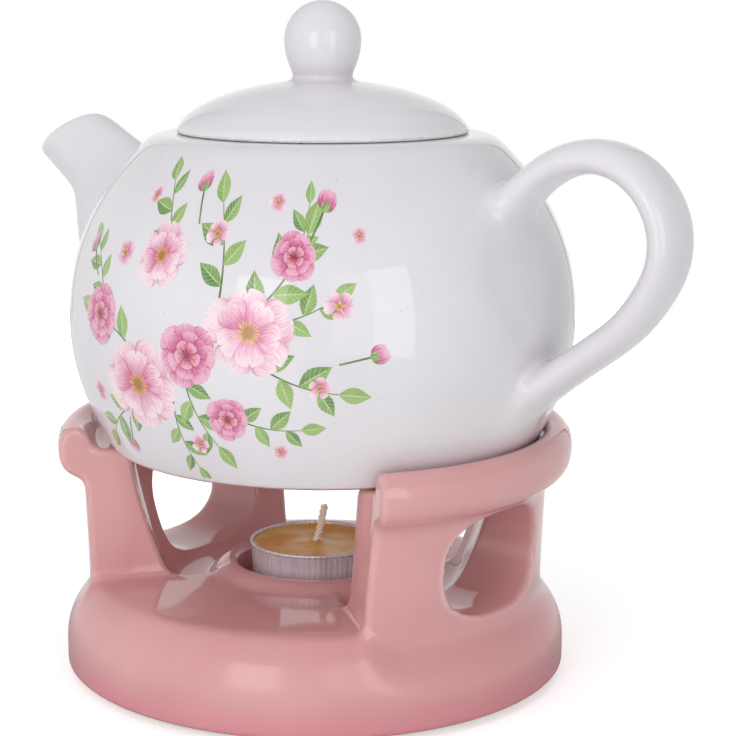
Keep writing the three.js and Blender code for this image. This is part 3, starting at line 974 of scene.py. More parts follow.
@dataclass
class Warmer(Casting):
    """The warmer: a round base with the tealight's well, and two walls under a rolled collar.

    In the front gap between the walls the base's top is lifted and widened. The gap's overlap and
    blend, and the walls' span, are in degrees. A cosine turns height over the slope of the same name
    into distance. A fillet is a hollow join, and an edge or a rounding is a rounded rim.
    """

    name: str = "warmer_casting"
    body: Body = Body.WARMER
    slot: str = "warmer_glaze"
    nodes: tuple[str, ...] = ("warmer_base", "wall_handle_side", "wall_spout_side")
    box_low: Triple = (-76.2, -76.2, -2.0)
    box_high: Triple = (76.2, 76.2, 75.2)
    step: float = 1.1
    radius: float = 73.2
    floor_top: float = 24.8
    shoulder_width: float = 18.5
    shoulder_drop: float = 16.0
    shoulder_squareness: float = 2.25
    top_rounding: float = 0.9
    crest: float = 0.9
    gap_lift: float = 3.3
    gap_widening: float = 5.0
    gap_overlap: float = 2.0
    gap_blend: float = 12.0
    foot_radius: float = 60.0
    foot_rise: float = 3.4
    foot_inner: float = 54.0
    foot_thickness: float = 3.3
    foot_slope: float = 0.268
    foot_cosine: float = 0.966
    foot_rounding: float = 1.0
    foot_fillet: float = 1.5
    shell: float = 6.5
    ceiling: float = 18.1
    roof_slope: float = 0.55
    roof_reach: float = 51.5
    roof_cosine: float = 0.876
    roof_fillet: float = 4.0
    ceiling_fillet: float = 3.0
    hollow_edge: float = 1.2
    well_radius: float = 21.3
    well_slope: float = 0.156
    well_floor: float = 20.3
    well_floor_fillet: float = 1.5
    well_edge: float = 1.6
    well_ceiling: float = 14.5
    well_outer: float = 27.1
    well_fillet: float = 2.5
    lip_crest: float = 24.2
    lip_size: float = 6.0
    lip_fillet: float = 3.0
    wall_root: float = 20.1
    wall_inner_foot: float = 42.2
    wall_inner_top: float = 53.9
    wall_inner_cosine: float = 0.96
    wall_outer_foot: float = 66.2
    wall_outer_top: float = 67.3
    wall_outer_run: float = 29.2
    wall_bow: float = 1.3
    wall_fillet: float = 3.8
    ledge_low: float = 61.5
    ledge_top: float = 66.5
    ledge_edge: float = 3.6
    rim_middle: float = 70.0
    rim_half: float = 4.7
    bulge_height: float = 67.0
    rim_top: float = 73.2
    collar_low: float = 58.2
    collar_root: float = 64.0
    collar_squareness: float = 2.8
    collar_fillet: float = 3.6
    end_rounding: float = 1.6
    end_inset: float = 2.4
    inset_radius: float = 54.0
    inset_width: float = 12.0
    inset_height: float = 28.0
    inset_rise: float = 40.0
    span: float = 93.5
    window_half: float = 21.6
    window_squareness: float = 2.6
    window_top: float = 56.5
    window_rounding: float = 1.2
    walls: tuple[Wall, ...] = (Wall(4.3, -7.8, 3.1), Wall(184.3, -8.8, 0.8))

    def solid_base(self, r: Array, z: Array, gap: Array) -> Array:
        """Gives the base's field without its hollow.

        Args:
            r: The points' radii.
            z: Their heights.
            gap: How far each lies in the front gap, 0 to 1. The top is higher and wider there.

        Returns:
            The field.
        """
        width = self.shoulder_width - self.gap_widening * gap
        rise = self.shoulder_drop + self.crest + self.gap_lift * gap
        flat, low = self.radius - width, self.floor_top - self.shoulder_drop
        past, above = np.maximum(r - flat, 0), np.maximum(z - low, 0)
        upper = oval_distance(past, above, width, rise, self.shoulder_squareness)
        upper = np.where(r < flat, z - low - rise, np.where(z < low, r - self.radius, upper))
        upper = soft_max(upper, z - self.floor_top - self.gap_lift * gap, self.top_rounding)
        past, below = np.maximum(r - self.foot_radius, 0), np.maximum(self.foot_rise - z, 0)
        lower = oval_distance(past, below, self.radius - self.foot_radius, self.foot_rise)
        lower = np.where(r < self.foot_radius, -z, np.where(z > self.foot_rise, r - self.radius, lower))
        past = np.maximum(r - self.lip_crest, 0)
        lip = oval_distance(past, z - self.floor_top, self.lip_size, self.lip_size)
        lip = np.where(r < self.lip_crest, z - self.floor_top - self.lip_size, lip)
        lip = np.maximum(lip, self.well_ceiling - z)
        return soft_min(np.maximum(upper, lower), lip, self.lip_fillet)

    def hollow(self, r: Array, z: Array) -> Array:
        """Gives the field of the hollow under the base.

        Args:
            r: The points' radii.
            z: Their heights.

        Returns:
            The field.
        """
        slant = (self.foot_thickness + (r - self.foot_inner) * self.foot_slope - z) * self.foot_cosine
        foot = soft_max(self.foot_inner - r, -slant, self.foot_rounding)
        roof = (z + self.roof_slope * r - self.roof_reach) * self.roof_cosine
        outer = soft_max(r - self.radius + self.shell, roof, self.roof_fillet)
        space = soft_max(outer, z - self.ceiling, self.ceiling_fillet)
        well = np.maximum(r - self.well_outer, self.well_ceiling - z)
        return soft_max(soft_max(space, -well, self.well_fillet), -foot, self.foot_fillet)

    def wall_section(self, r: Array, z: Array) -> Array:
        """Gives the field of the walls' section, turned all the way round.

        Args:
            r: The points' radii.
            z: Their heights.

        Returns:
            The field.
        """
        share = np.clip((self.ledge_low - z) / (self.ledge_low - self.floor_top), 0, 1)
        inner = self.wall_inner_top + (self.wall_inner_foot - self.wall_inner_top) * share
        inner = inner + 4 * self.wall_bow * share * (1 - share)
        up = z - self.floor_top
        outer = self.wall_outer_foot + up * (self.wall_outer_top - self.wall_outer_foot) / self.wall_outer_run
        wall = soft_max((inner - r) * self.wall_inner_cosine, z - self.ledge_top, self.ledge_edge)
        wall = np.maximum(np.maximum(wall, r - outer), self.wall_root - z)
        up = z - self.bulge_height
        above = oval_distance(r - self.rim_middle, up, self.rim_half, self.rim_top - self.bulge_height)
        reach = self.rim_middle + self.rim_half - self.collar_root
        drop = self.bulge_height - self.collar_low
        below = oval_distance(np.maximum(r - self.collar_root, 0), up, reach, drop, self.collar_squareness)
        below = np.maximum(below, self.rim_middle - self.rim_half - r)
        return soft_min(wall, np.where(up > 0, above, below), self.collar_fillet)

    def wall_field(self, points: Array, r: Array, section: Array, wall: Wall) -> Array:
        """Cuts the turned section to one wall's span and pierces its window.

        Args:
            points: Where the field is wanted.
            r: Their radii.
            section: The section's field there.
            wall: The wall.

        Returns:
            The wall's field.
        """
        x, y, z = points.T
        first = math.radians(wall.centre - self.span / 2)
        last = math.radians(wall.centre + self.span / 2)
        ends = np.maximum(math.sin(first) * x - math.cos(first) * y, math.cos(last) * y - math.sin(last) * x)
        outward = ease((r - self.inset_radius) / self.inset_width)
        ends = ends + self.end_inset * outward * ease((z - self.inset_height) / self.inset_rise)
        toward = math.radians(wall.centre + wall.window_turn)
        across = math.cos(toward) * y - math.sin(toward) * x
        bottom = self.floor_top + wall.sill
        half = (self.window_top - bottom) / 2
        window = oval_distance(across, z - bottom - half, self.window_half, half, self.window_squareness)
        return soft_max(soft_max(section, ends, self.end_rounding), -window, self.window_rounding)

    def field_of(self, points: Array) -> Array:
        """Gives the warmer's field.

        Args:
            points: Where it is wanted.

        Returns:
            The field.
        """
        x, y, z = points.T
        r = np.hypot(x, y)
        turn = np.degrees(np.arctan2(y, x)) - self.walls[0].centre
        past = np.abs((turn + 360) % 360 - 270) - (90 - self.span / 2)
        solid = self.solid_base(r, z, ease(1 - (past + self.gap_overlap) / self.gap_blend))
        section = self.wall_section(r, z)
        for wall in self.walls:
            solid = soft_min(solid, self.wall_field(points, r, section, wall), self.wall_fillet)
        solid = soft_max(solid, -self.hollow(r, z), self.hollow_edge)
        side = r - self.well_radius - (z - self.well_floor) * self.well_slope
        well = soft_max(side, self.well_floor - z, self.well_floor_fillet)
        return soft_max(solid, -well, self.well_edge)


@dataclass
class Pot(Casting):
    """The pot with its spout and handle. Its own axes start on the ledge.

    The points of the spout and the handle are given as (distance beyond the body's radius, height),
    and the ramps of the slimmer shoulder and the fuller belly as (height of the start, run).
    """

    name: str = "pot_casting"
    body: Body = Body.TEAPOT
    slot: str = "pot_glaze"
    nodes: tuple[str, ...] = ("teapot_body", "spout", "handle")
    box_low: Triple = (-109, -75, -2)
    box_high: Triple = (118, 75, 94)
    step: float = 1.4
    origin: Triple = (1.75, 1.3, 66.55)
    radius: float = 72.1
    half_height: float = 70.2
    middle: float = 37.4
    height: float = 89.4
    top_edge: float = 2.6
    wall: float = 4.5
    foot_radius: float = 61.0
    foot_width: float = 9.0
    foot_recess: float = 2.4
    foot_edge: float = 1.4
    recess_edge: float = 1.0
    shoulder_slim: float = 0.3
    slim_ramp: Pair = (75, 12)
    belly: float = 0.5
    belly_low: Pair = (8, 24)
    belly_high: Pair = (84, 30)
    mouth_radius: float = 33.5
    mouth_low: float = 60.0
    mouth_fillet: float = 1.5
    inner_edge: float = 1.3
    ceiling: float = 82.4
    ceiling_fillet: float = 2.0
    floor_fillet: float = 5.0
    spout_wall: float = 3.8
    spout_edge: float = 1.7
    spout_fillet: float = 5.0
    channel_fillet: float = 2.5
    spout_top: tuple[Pair, ...] = (
        (-23, 67.5), (-12, 76.9), (-4, 81.8), (3, 85.7), (8.4, 88.7), (12.8, 90.7), (16.4, 91.4),
    )
    spout_low: tuple[Pair, ...] = (
        (-12, 27), (4, 32.5), (14.3, 42.5), (17, 53.5), (18.8, 64), (25.2, 71), (34.2, 78.3),
    )
    spout_half: tuple[float, ...] = (19, 17.6, 14.8, 12.2, 10.9, 10.4, 10.3)
    spout_squareness: float = 2.0
    handle_path: tuple[Pair, ...] = (
        (-22, 57.6), (-14, 66.8), (-3.2, 78.8), (6.5, 85.2), (16, 87), (25, 84.7), (32, 79), (35.9, 72.1),
        (37, 65), (35.8, 58.3), (32.5, 51.7), (26.8, 44.1), (18.6, 37.1), (8.6, 29.7), (-6, 19), (-17, 10.6),
    )
    handle_thickness: float = 9.3
    handle_width: float = 18.6
    handle_squareness: float = 2.1
    handle_flare: float = 2.6
    flare_share: float = 0.16
    handle_fillet: float = 4.4

    def __post_init__(self) -> None:
        """Makes the two sweeps."""
        top, low = np.array(self.spout_top, float), np.array(self.spout_low, float)
        for edge in (top, low):
            edge[:, 0] = -(self.radius + edge[:, 0])
        centre = SmoothLine((top + low) / 2)
        reach = SmoothLine((top - low) / 2, centre.knots)
        half = SmoothLine([[value] for value in self.spout_half], centre.knots)
        self.spout = PlanarSweep(centre, reach, half, self.spout_squareness)
        self.spout_mouth = top[-1], low[-1]
        path = np.array(self.handle_path, float)
        path[:, 0] += self.radius
        line = SmoothLine(path)
        slope = line.slope(line.knots)
        normal = np.stack([-slope[:, 1], slope[:, 0]], axis=1)
        normal /= np.linalg.norm(normal, axis=1)[:, None]
        ends = np.minimum(line.knots, 1 - line.knots)
        flare = self.handle_flare * (1 - ease(ends / self.flare_share))
        thick = SmoothLine(normal * (self.handle_thickness / 2 + flare)[:, None], line.knots)
        wide = SmoothLine((self.handle_width / 2 + flare)[:, None], line.knots)
        self.handle = PlanarSweep(line, thick, wide, self.handle_squareness, capped_end=True)

    def outline(self, height: Array, inset: float = 0.0) -> Array:
        """Gives the body's radius by height.

        Args:
            height: The heights.
            inset: How far the outline is taken in.

        Returns:
            The radii.
        """
        share = np.clip((height - self.middle) / (self.half_height - inset), -0.995, 0.995)
        slim = self.shoulder_slim * ease((height - self.slim_ramp[0]) / self.slim_ramp[1])
        belly = self.belly * ease((height - self.belly_low[0]) / self.belly_low[1])
        belly = belly * ease((self.belly_high[0] - height) / self.belly_high[1])
        return (self.radius - inset) * np.sqrt(1 - share**2) - slim + belly

    def lean(self, height: Array, inset: float = 0.0) -> Array:
        """Gives how fast the body's radius grows with height."""
        step = 0.05
        return (self.outline(height + step, inset) - self.outline(height - step, inset)) / (2 * step)

    def side(self, r: Array, z: Array, inset: float = 0.0) -> Array:
        """Gives about the distance to the body's side, taken in by an inset."""
        return (r - self.outline(z, inset)) / np.sqrt(1 + self.lean(z, inset) ** 2)

    def field_of(self, points: Array) -> Array:
        """Gives the pot's field, in its own axes.

        Args:
            points: Where it is wanted.

        Returns:
            The field.
        """
        r, z = np.hypot(points[:, 0], points[:, 1]), points[:, 2]
        body = soft_max(soft_max(self.side(r, z), z - self.height, self.top_edge), -z, self.foot_edge)
        spout = soft_max(self.spout(points), self.beyond_spout(points), self.spout_edge)
        solid = soft_min(body, spout, self.spout_fillet)
        solid = soft_min(solid, self.handle(points), self.handle_fillet)
        recess = np.maximum(r - self.foot_radius + self.foot_width, z - self.foot_recess)
        solid = soft_max(solid, -recess, self.recess_edge)
        room = soft_max(self.side(r, z, self.wall), z - self.ceiling, self.ceiling_fillet)
        room = soft_max(room, self.foot_recess + self.wall - z, self.floor_fillet)
        mouth = np.maximum(r - self.mouth_radius, self.mouth_low - z)
        space = soft_min(room, mouth, self.mouth_fillet)
        space = soft_min(space, self.spout(points, self.spout_wall), self.channel_fillet)
        return soft_max(solid, -space, self.inner_edge)

    def beyond_spout(self, points: Array) -> Array:
        """Gives the distance beyond the plane that the spout's mouth lies in.

        Args:
            points: Where it is wanted.

        Returns:
            The distances, negative before the plane.
        """
        top, low = self.spout_mouth
        along = (top - low) / np.linalg.norm(top - low)
        return -(points[:, 0] - top[0]) * along[1] + (points[:, 2] - top[1]) * along[0]


@dataclass
class Lid(Casting):
    """The lid: a hollow dome on a locating ring, and its knob on a short neck."""

    name: str = "lid_casting"
    body: Body = Body.LID
    slot: str = "pot_glaze"
    nodes: tuple[str, ...] = ("lid_cap", "lid_knob")
    box_low: Triple = (-44.3, -44.3, -11.5)
    box_high: Triple = (44.3, 44.3, 39)
    step: float = 0.95
    origin: Triple = (1.75, 1.3, 156.0)
    radius: float = 42.3
    half_height: float = 16.8
    sink: float = 2.2
    edge_inset: float = 6.5
    edge_rounding: float = 1.3
    thickness: float = 4.4
    ring_radius: float = 32.3
    ring_wall: float = 3.8
    ring_depth: float = 9.4
    ring_top: float = 4.0
    ring_rounding: float = 1.0
    ring_fillet: float = 1.2
    inner_fillet: float = 2.0
    inner_edge: float = 1.0
    knob_radius: float = 10.9
    knob_drop: float = 14.75
    knob_height: float = 25.96
    knob_low: float = 11.0
    knob_fillet: float = 3.2

    def field_of(self, points: Array) -> Array:
        """Gives the lid's field, in its own axes.

        Args:
            points: Where it is wanted.

        Returns:
            The field.
        """
        r, z = np.hypot(points[:, 0], points[:, 1]), points[:, 2]
        dome = oval_distance(r, z + self.sink, self.radius, self.half_height)
        dome = soft_max(dome, -z, self.edge_rounding)
        ring = np.abs(r - (self.ring_radius - self.ring_wall / 2)) - self.ring_wall / 2
        ring = np.maximum(soft_max(ring, -self.ring_depth - z, self.ring_rounding), z - self.ring_top)
        up = np.maximum(z + self.sink, 0.0)
        inner = oval_distance(r, up, self.radius - self.edge_inset, self.half_height - self.thickness)
        inner = soft_max(inner, r - self.ring_radius + self.ring_wall, self.inner_fillet)
        rise = z - self.knob_height
        ball = oval_distance(r, rise, self.knob_radius, np.where(rise > 0, self.knob_radius, self.knob_drop))
        ball = np.maximum(ball, self.knob_low - z)
        solid = soft_max(soft_min(dome, ring, self.ring_fillet), -inner, self.inner_edge)
        return soft_min(solid, ball, self.knob_fillet)


# The printed flowers

PRINT_ROUGHNESS = 0.06


class Tree(Nodes):
    """Builds one Geometry Nodes tree with named inputs."""

    def __init__(self, name: str) -> None:
        """Starts a tree that takes a geometry and gives one.

        Args:
            name: The tree's name.
        """
        super().__init__(bpy.data.node_groups.new(name, "GeometryNodeTree"))
        self.tree.is_modifier = True
        for way in ("INPUT", "OUTPUT"):
            self.tree.interface.new_socket("Geometry", in_out=way, socket_type="NodeSocketGeometry")
        self.inputs = self.add("NodeGroupInput")
        self.outputs = self.add("NodeGroupOutput")

    def given(self, name: str, kind: str = "Float") -> Value:
        """Adds a named input of a kind such as Float, Int, Object or Material."""
        self.tree.interface.new_socket(name, in_out="INPUT", socket_type=f"NodeSocket{kind}")
        return self.pick(self.inputs, name)

    def motif(self, name: str) -> Value:
        """Adds a named input for an object and gives the object's geometry."""
        return self.pick(self.add("GeometryNodeObjectInfo", self.given(name, "Object"), True), "Geometry")

    def store(self, geometry: Value, name: str, value: object) -> Value:
        """Stores a number on a geometry's points."""
        return self.make("GeometryNodeStoreNamedAttribute", geometry, None, name, value, data_type="FLOAT")

    def stored(self, name: str) -> Value:
        """Reads a number that points carry."""
        return self.make("GeometryNodeInputNamedAttribute", name, data_type="FLOAT")

    def random(self, low: float, high: float, seed: int, item: Value) -> Value:
        """Gives each item its own number between two others."""
        return self.make("FunctionNodeRandomValue", low, high, item, seed, data_type="FLOAT")

    def moved(self, geometry: Value, place: object = None, shift: object = None) -> Value:
        """Sets the points' places, or shifts them."""
        return self.make("GeometryNodeSetPosition", geometry, None, place, shift)

    def coloured(self, geometry: Value, material: Value) -> Value:
        """Gives a geometry its material."""
        return self.make("GeometryNodeSetMaterial", geometry, None, material)

    def copies(self, points: Value, piece: Value, angle: Value, size: Value, keep: object = None) -> Value:
        """Sets copies of a piece on points, as plain geometry.

        Args:
            points: The points.
            piece: The piece's geometry.
            angle: Each copy's turn in the sheet's plane.
            size: Each copy's size in the sheet's plane.
            keep: Which points get a copy; all when left out.

        Returns:
            The copies.
        """
        turn = self.make("FunctionNodeEulerToRotation", self.vector(0.0, 0.0, angle))
        scale = self.vector(size, size, 1.0)
        set_out = self.make("GeometryNodeInstanceOnPoints", points, keep, piece, None, None, turn, scale)
        return self.make("GeometryNodeRealizeInstances", set_out)

    def ribbon(self, columns: int, rows: int) -> Value:
        """Makes a grid that carries "across", from -1 to 1, and "along", from 0 to 1.

        Args:
            columns: How many points lie across it.
            rows: How many lie along it.

        Returns:
            The grid.
        """
        grid = self.make("GeometryNodeMeshGrid", 1.0, 1.0, columns, rows)
        x, y, _ = self.split(self.make("GeometryNodeInputPosition"))
        return self.store(self.store(grid, "across", x * 2.0), "along", y + 0.5)

    def finish(self, *parts: Value) -> NodeTree:
        """Ends the tree with its parts joined.

        Args:
            parts: The geometries.

        Returns:
            The tree.
        """
        join = self.add("GeometryNodeJoinGeometry")
        for part in parts:
            self.feed(join.inputs[0], part)
        self.feed(self.outputs.inputs[0], self.pick(join, "Geometry"))
        return self.tree


def made_by(name: str, tree: NodeTree, values: Sequence[object], start: Mesh | None = None) -> Object:
    """Runs a tree once and keeps what it makes as a plain mesh.

    Args:
        name: The new object's name.
        tree: The tree.
        values: What its named inputs get, in their order.
        start: The mesh that it starts from, if any.

    Returns:
        An object that is in no scene.
    """
    carrier = bpy.data.objects.new(name, start or bpy.data.meshes.new(name))
    bpy.context.scene.collection.objects.link(carrier)
    modifier = carrier.modifiers.new("shape", "NODES")
    modifier.node_group = tree
    sockets = [item for item in tree.interface.items_tree if item.item_type == "SOCKET"]
    inputs = [item.identifier for item in sockets if item.in_out == "INPUT" and item.name != "Geometry"]
    for identifier, value in zip(inputs, values, strict=True):
        modifier[identifier] = value
    graph = bpy.context.evaluated_depsgraph_get()
    mesh = bpy.data.meshes.new_from_object(carrier.evaluated_get(graph), depsgraph=graph)
    carrier.modifiers.clear()
    carrier.data = mesh
    mesh.name = name
    bpy.context.scene.collection.objects.unlink(carrier)
    return carrier


def petal_tree() -> NodeTree:
    """Makes a flat petal or leaf that grows along +Y from the sheet's origin.

    Returns:
        A tree with the inputs Length, Width, Fullness, Tip, Notch, Ruffle and Material.
    """
    t = Tree("petal")
    length, width, fullness = t.given("Length"), t.given("Width"), t.given("Fullness")
    tip, notch, ruffle = t.given("Tip"), t.given("Notch"), t.given("Ruffle")
    material = t.given("Material", "Material")
    grid = t.ribbon(11, 15)
    side, along = t.stored("across"), t.stored("along")
    swell = t.math("SINE", along**fullness * (math.pi * 0.98))
    half = t.math("MAXIMUM", swell, 0.012) ** tip * (width * 0.5)
    wave = t.math("SINE", side * 7.0 + along * 5.0) * (ruffle * along**3.0)
    dip = notch * ((1.0 - abs(side)) ** 2.0 * along**5.0)
    return t.finish(t.coloured(t.moved(grid, t.vector(side * half, length * (along - dip + wave))), material))


def fan_of(
    t: Tree,
    piece: Value,
    count: object,
    radius: object,
    scale: float,
    lift: float,
    seed: int,
    step: float | None = None,
    first: float | None = None,
) -> Value:
    """Sets copies of a piece round the origin, each facing outwards.

    Args:
        t: The tree.
        piece: The piece's geometry.
        count: How many copies.
        radius: How far from the origin they start.
        scale: Their size.
        lift: Their layer's height over the sheet.
        seed: Of their small irregularities.
        step: The angle from one to the next; a whole turn is shared out when left out.
        first: The first one's angle.

    Returns:
        The copies.
    """
    index = t.make("GeometryNodeInputIndex")
    step = t.math("DIVIDE", 2 * math.pi, count) if step is None else step
    angle = index * step + t.random(-0.11, 0.11, seed, index)
    angle = angle + (0.63 * seed if first is None else first)
    layer = t.math("MODULO", index, 2.0) * 0.0025 + (index * 0.0006 + lift)
    place = t.vector(t.math("COSINE", angle) * radius, t.math("SINE", angle) * radius, layer)
    points = t.make("GeometryNodePoints", count, place, 0.1)
    points = t.store(points, "tone", t.random(0.0, 1.0, seed + 7, index))
    return t.copies(points, piece, angle - math.pi / 2, t.random(0.90, 1.08, seed + 3, index) * scale)


def bloom_tree() -> NodeTree:
    """Makes a flat bloom of up to three rings of petals and a ring of stamens.

    Returns:
        A tree with the inputs Petal, Stamen, Outer, Middle, Inner, Stamens, Heart and Eye.
    """
    t = Tree("bloom")
    petal, stamen = t.motif("Petal"), t.motif("Stamen")
    outer, middle, inner, stamens = (t.given(name, "Int") for name in ("Outer", "Middle", "Inner", "Stamens"))
    heart, eye = t.given("Heart"), t.given("Eye", "Material")
    disc = t.make("GeometryNodeMeshCircle", 20, heart * 0.85, fill_type="TRIANGLE_FAN")
    disc = t.moved(t.store(t.store(disc, "along", 0.1), "tone", 0.4), None, (0.0, 0.0, 0.024))
    return t.finish(
        t.coloured(disc, eye),
        fan_of(t, petal, outer, heart * 0.8, 1.0, 0.004, 1),
        fan_of(t, petal, middle, heart * 0.5, 0.74, 0.012, 2),
        fan_of(t, petal, inner, heart * 0.2, 0.48, 0.020, 3),
        fan_of(t, stamen, stamens, heart * 0.25, 1.0, 0.030, 4),
    )


def bud_tree() -> NodeTree:
    """Makes a flat bud on a short stalk: folded petals in a cup of sepals.

    Returns:
        A tree with the inputs Petal, Sepal and Stalk.
    """
    t = Tree("bud")
    petal, sepal, stalk = (t.motif(name) for name in ("Petal", "Sepal", "Stalk"))
    up = math.pi / 2
    return t.finish(
        fan_of(t, stalk, 1, 0.0, 1.0, 0.002, 1, 0.0, -up),
        fan_of(t, sepal, 2, 0.0, 0.42, 0.004, 2, 1.3, up - 0.65),
        fan_of(t, petal, 3, 0.0, 1.0, 0.010, 3, 0.34, up - 0.34),
        fan_of(t, sepal, 3, -0.4, 0.30, 0.020, 4, 0.5, up - 0.5),
    )


def sprig_tree() -> NodeTree:
    """Makes a flat curved stem with leaves on both sides and one at its tip.

    Returns:
        A tree with the inputs Leaf, Stem, Reach, Bend, Leaves and Size.
    """
    t = Tree("sprig")
    leaf, material = t.motif("Leaf"), t.given("Stem", "Material")
    reach, bow, count, size = t.given("Reach"), t.given("Bend"), t.given("Leaves", "Int"), t.given("Size")
    ends = (0.0, 0.0, 0.0), t.vector(0.0, reach)
    curve = t.make("GeometryNodeCurveQuadraticBezier", 24, ends[0], t.vector(bow, reach * 0.5), ends[1])
    stem = t.ribbon(2, 24)
    on_curve = t.add("GeometryNodeSampleCurve", curve, None, t.stored("along"), mode="FACTOR")
    right, up, _ = t.split(t.pick(on_curve, "Tangent"))
    width = t.stored("across") * (t.stored("along") * -0.16 + 0.30)
    shift = t.vector(up * width, right * (width * -1.0))
    spot = t.make("ShaderNodeVectorMath", t.pick(on_curve, "Position"), shift, operation="ADD")
    points = t.add("GeometryNodeCurveToPoints", curve, count, mode="COUNT")
    index = t.make("GeometryNodeInputIndex")
    right, up, _ = t.split(t.pick(points, "Tangent"))
    last = t.math("COMPARE", index, count - 1.0, 0.1)
    sign = t.math("MODULO", index, 2.0) * 2.0 - 1.0
    splay = sign * t.random(0.62, 0.95, 5, index) * (1.0 - last)
    angle = t.math("ARCTAN2", up, right) - math.pi / 2 + splay
    leafy = t.store(t.pick(points, "Points"), "tone", t.random(0.0, 1.0, 8, index))
    beyond_root = t.math("GREATER_THAN", index, 0.5)
    leaves = t.copies(leafy, leaf, angle, size * t.random(0.8, 1.12, 6, index), beyond_root)
    leaves = t.moved(leaves, None, t.vector(0.0, 0.0, t.stored("tone") * 0.003))
    return t.finish(t.coloured(t.moved(stem, spot), material), leaves)


def scatter_tree() -> NodeTree:
    """Sets copies of one motif on the points of a mesh, by the turn and size that they carry.

    Returns:
        A tree with the input Motif.
    """
    t = Tree("scatter")
    points, motif = t.pick(t.inputs, "Geometry"), t.motif("Motif")
    return t.finish(t.copies(points, motif, t.stored("turn"), t.stored("size")))


@dataclass(frozen=True)
class PrintedPetal:
    """Printed petals: dark at the heart, veined, and pale at the edge."""

    name: str
    heart: Colour
    middle: Colour
    edge: Colour

    def build(self) -> Material:
        """Builds the material.

        Returns:
            The material.
        """
        s = Shader(self.name)
        along, across, tone = (s.carried(name) for name in ("along", "across", "tone"))
        vein = s.remap(s.noise(2.4, 3, s.vector(across * 7, along * 1.3, tone)), 0.34, 0.66)
        reach = along + (vein * 0.34 - 0.17) + (tone * 0.30 - 0.15)
        colour = s.mix(s.remap(reach, 0.05, 0.55), self.heart, self.middle)
        colour = s.mix(s.remap(reach, 0.45, 1.0), colour, self.edge)
        rim = s.remap(abs(across), 0.80, 1.0, 0.0, 0.55)
        s.set(Base_Color=s.mix(rim * s.remap(along, 0.9, 0.6), colour, self.heart))
        s.gloss(PRINT_ROUGHNESS)
        return s.material


@dataclass(frozen=True)
class PrintedLeaf:
    """Printed leaves: a pale midrib and side veins on two greens."""

    name: str = "print_leaf"
    dark: Colour = (84, 132, 76)
    light: Colour = (160, 192, 118)
    rib: Colour = (208, 222, 168)

    def build(self) -> Material:
        """Builds the material.

        Returns:
            The material.
        """
        s = Shader(self.name)
        along, across, tone = (s.carried(name) for name in ("along", "across", "tone"))
        wide = abs(across)
        vein = s.math("SINE", along * 44 + wide * -9)
        share = tone * 0.45 + s.noise(260, 2) * 0.6 + s.math("GREATER_THAN", across, 0.0) * 0.22
        colour = s.mix(s.remap(share, 0.25, 0.95), self.dark, self.light)
        colour = s.mix(s.remap(vein, 0.72, 1.0, 0.0, 0.45), colour, self.rib)
        s.set(Base_Color=s.mix(s.remap(wide, 0.05, 0.13, 0.75, 0.0), colour, self.rib))
        s.gloss(PRINT_ROUGHNESS)
        return s.material


@dataclass(frozen=True)
class PrintedInk:
    """One plain printed colour with a little grain, for stems and stamens."""

    name: str
    colour: Colour
    darker: Colour

    def build(self) -> Material:
        """Builds the material.

        Returns:
            The material.
        """
        s = Shader(self.name)
        share = s.carried("along") * 0.7 + s.noise(400, 2) * 0.4
        s.set(Base_Color=s.mix(s.remap(share, 0.2, 0.9), self.darker, self.colour))
        s.gloss(PRINT_ROUGHNESS)
        return s.material


@dataclass(frozen=True)
class Spot:
    """Where one motif stands on the sheet, in millimetres, with its turn in degrees and its size."""

    u: float
    v: float
    turn: float
    size: float
    layer: float = 0.03


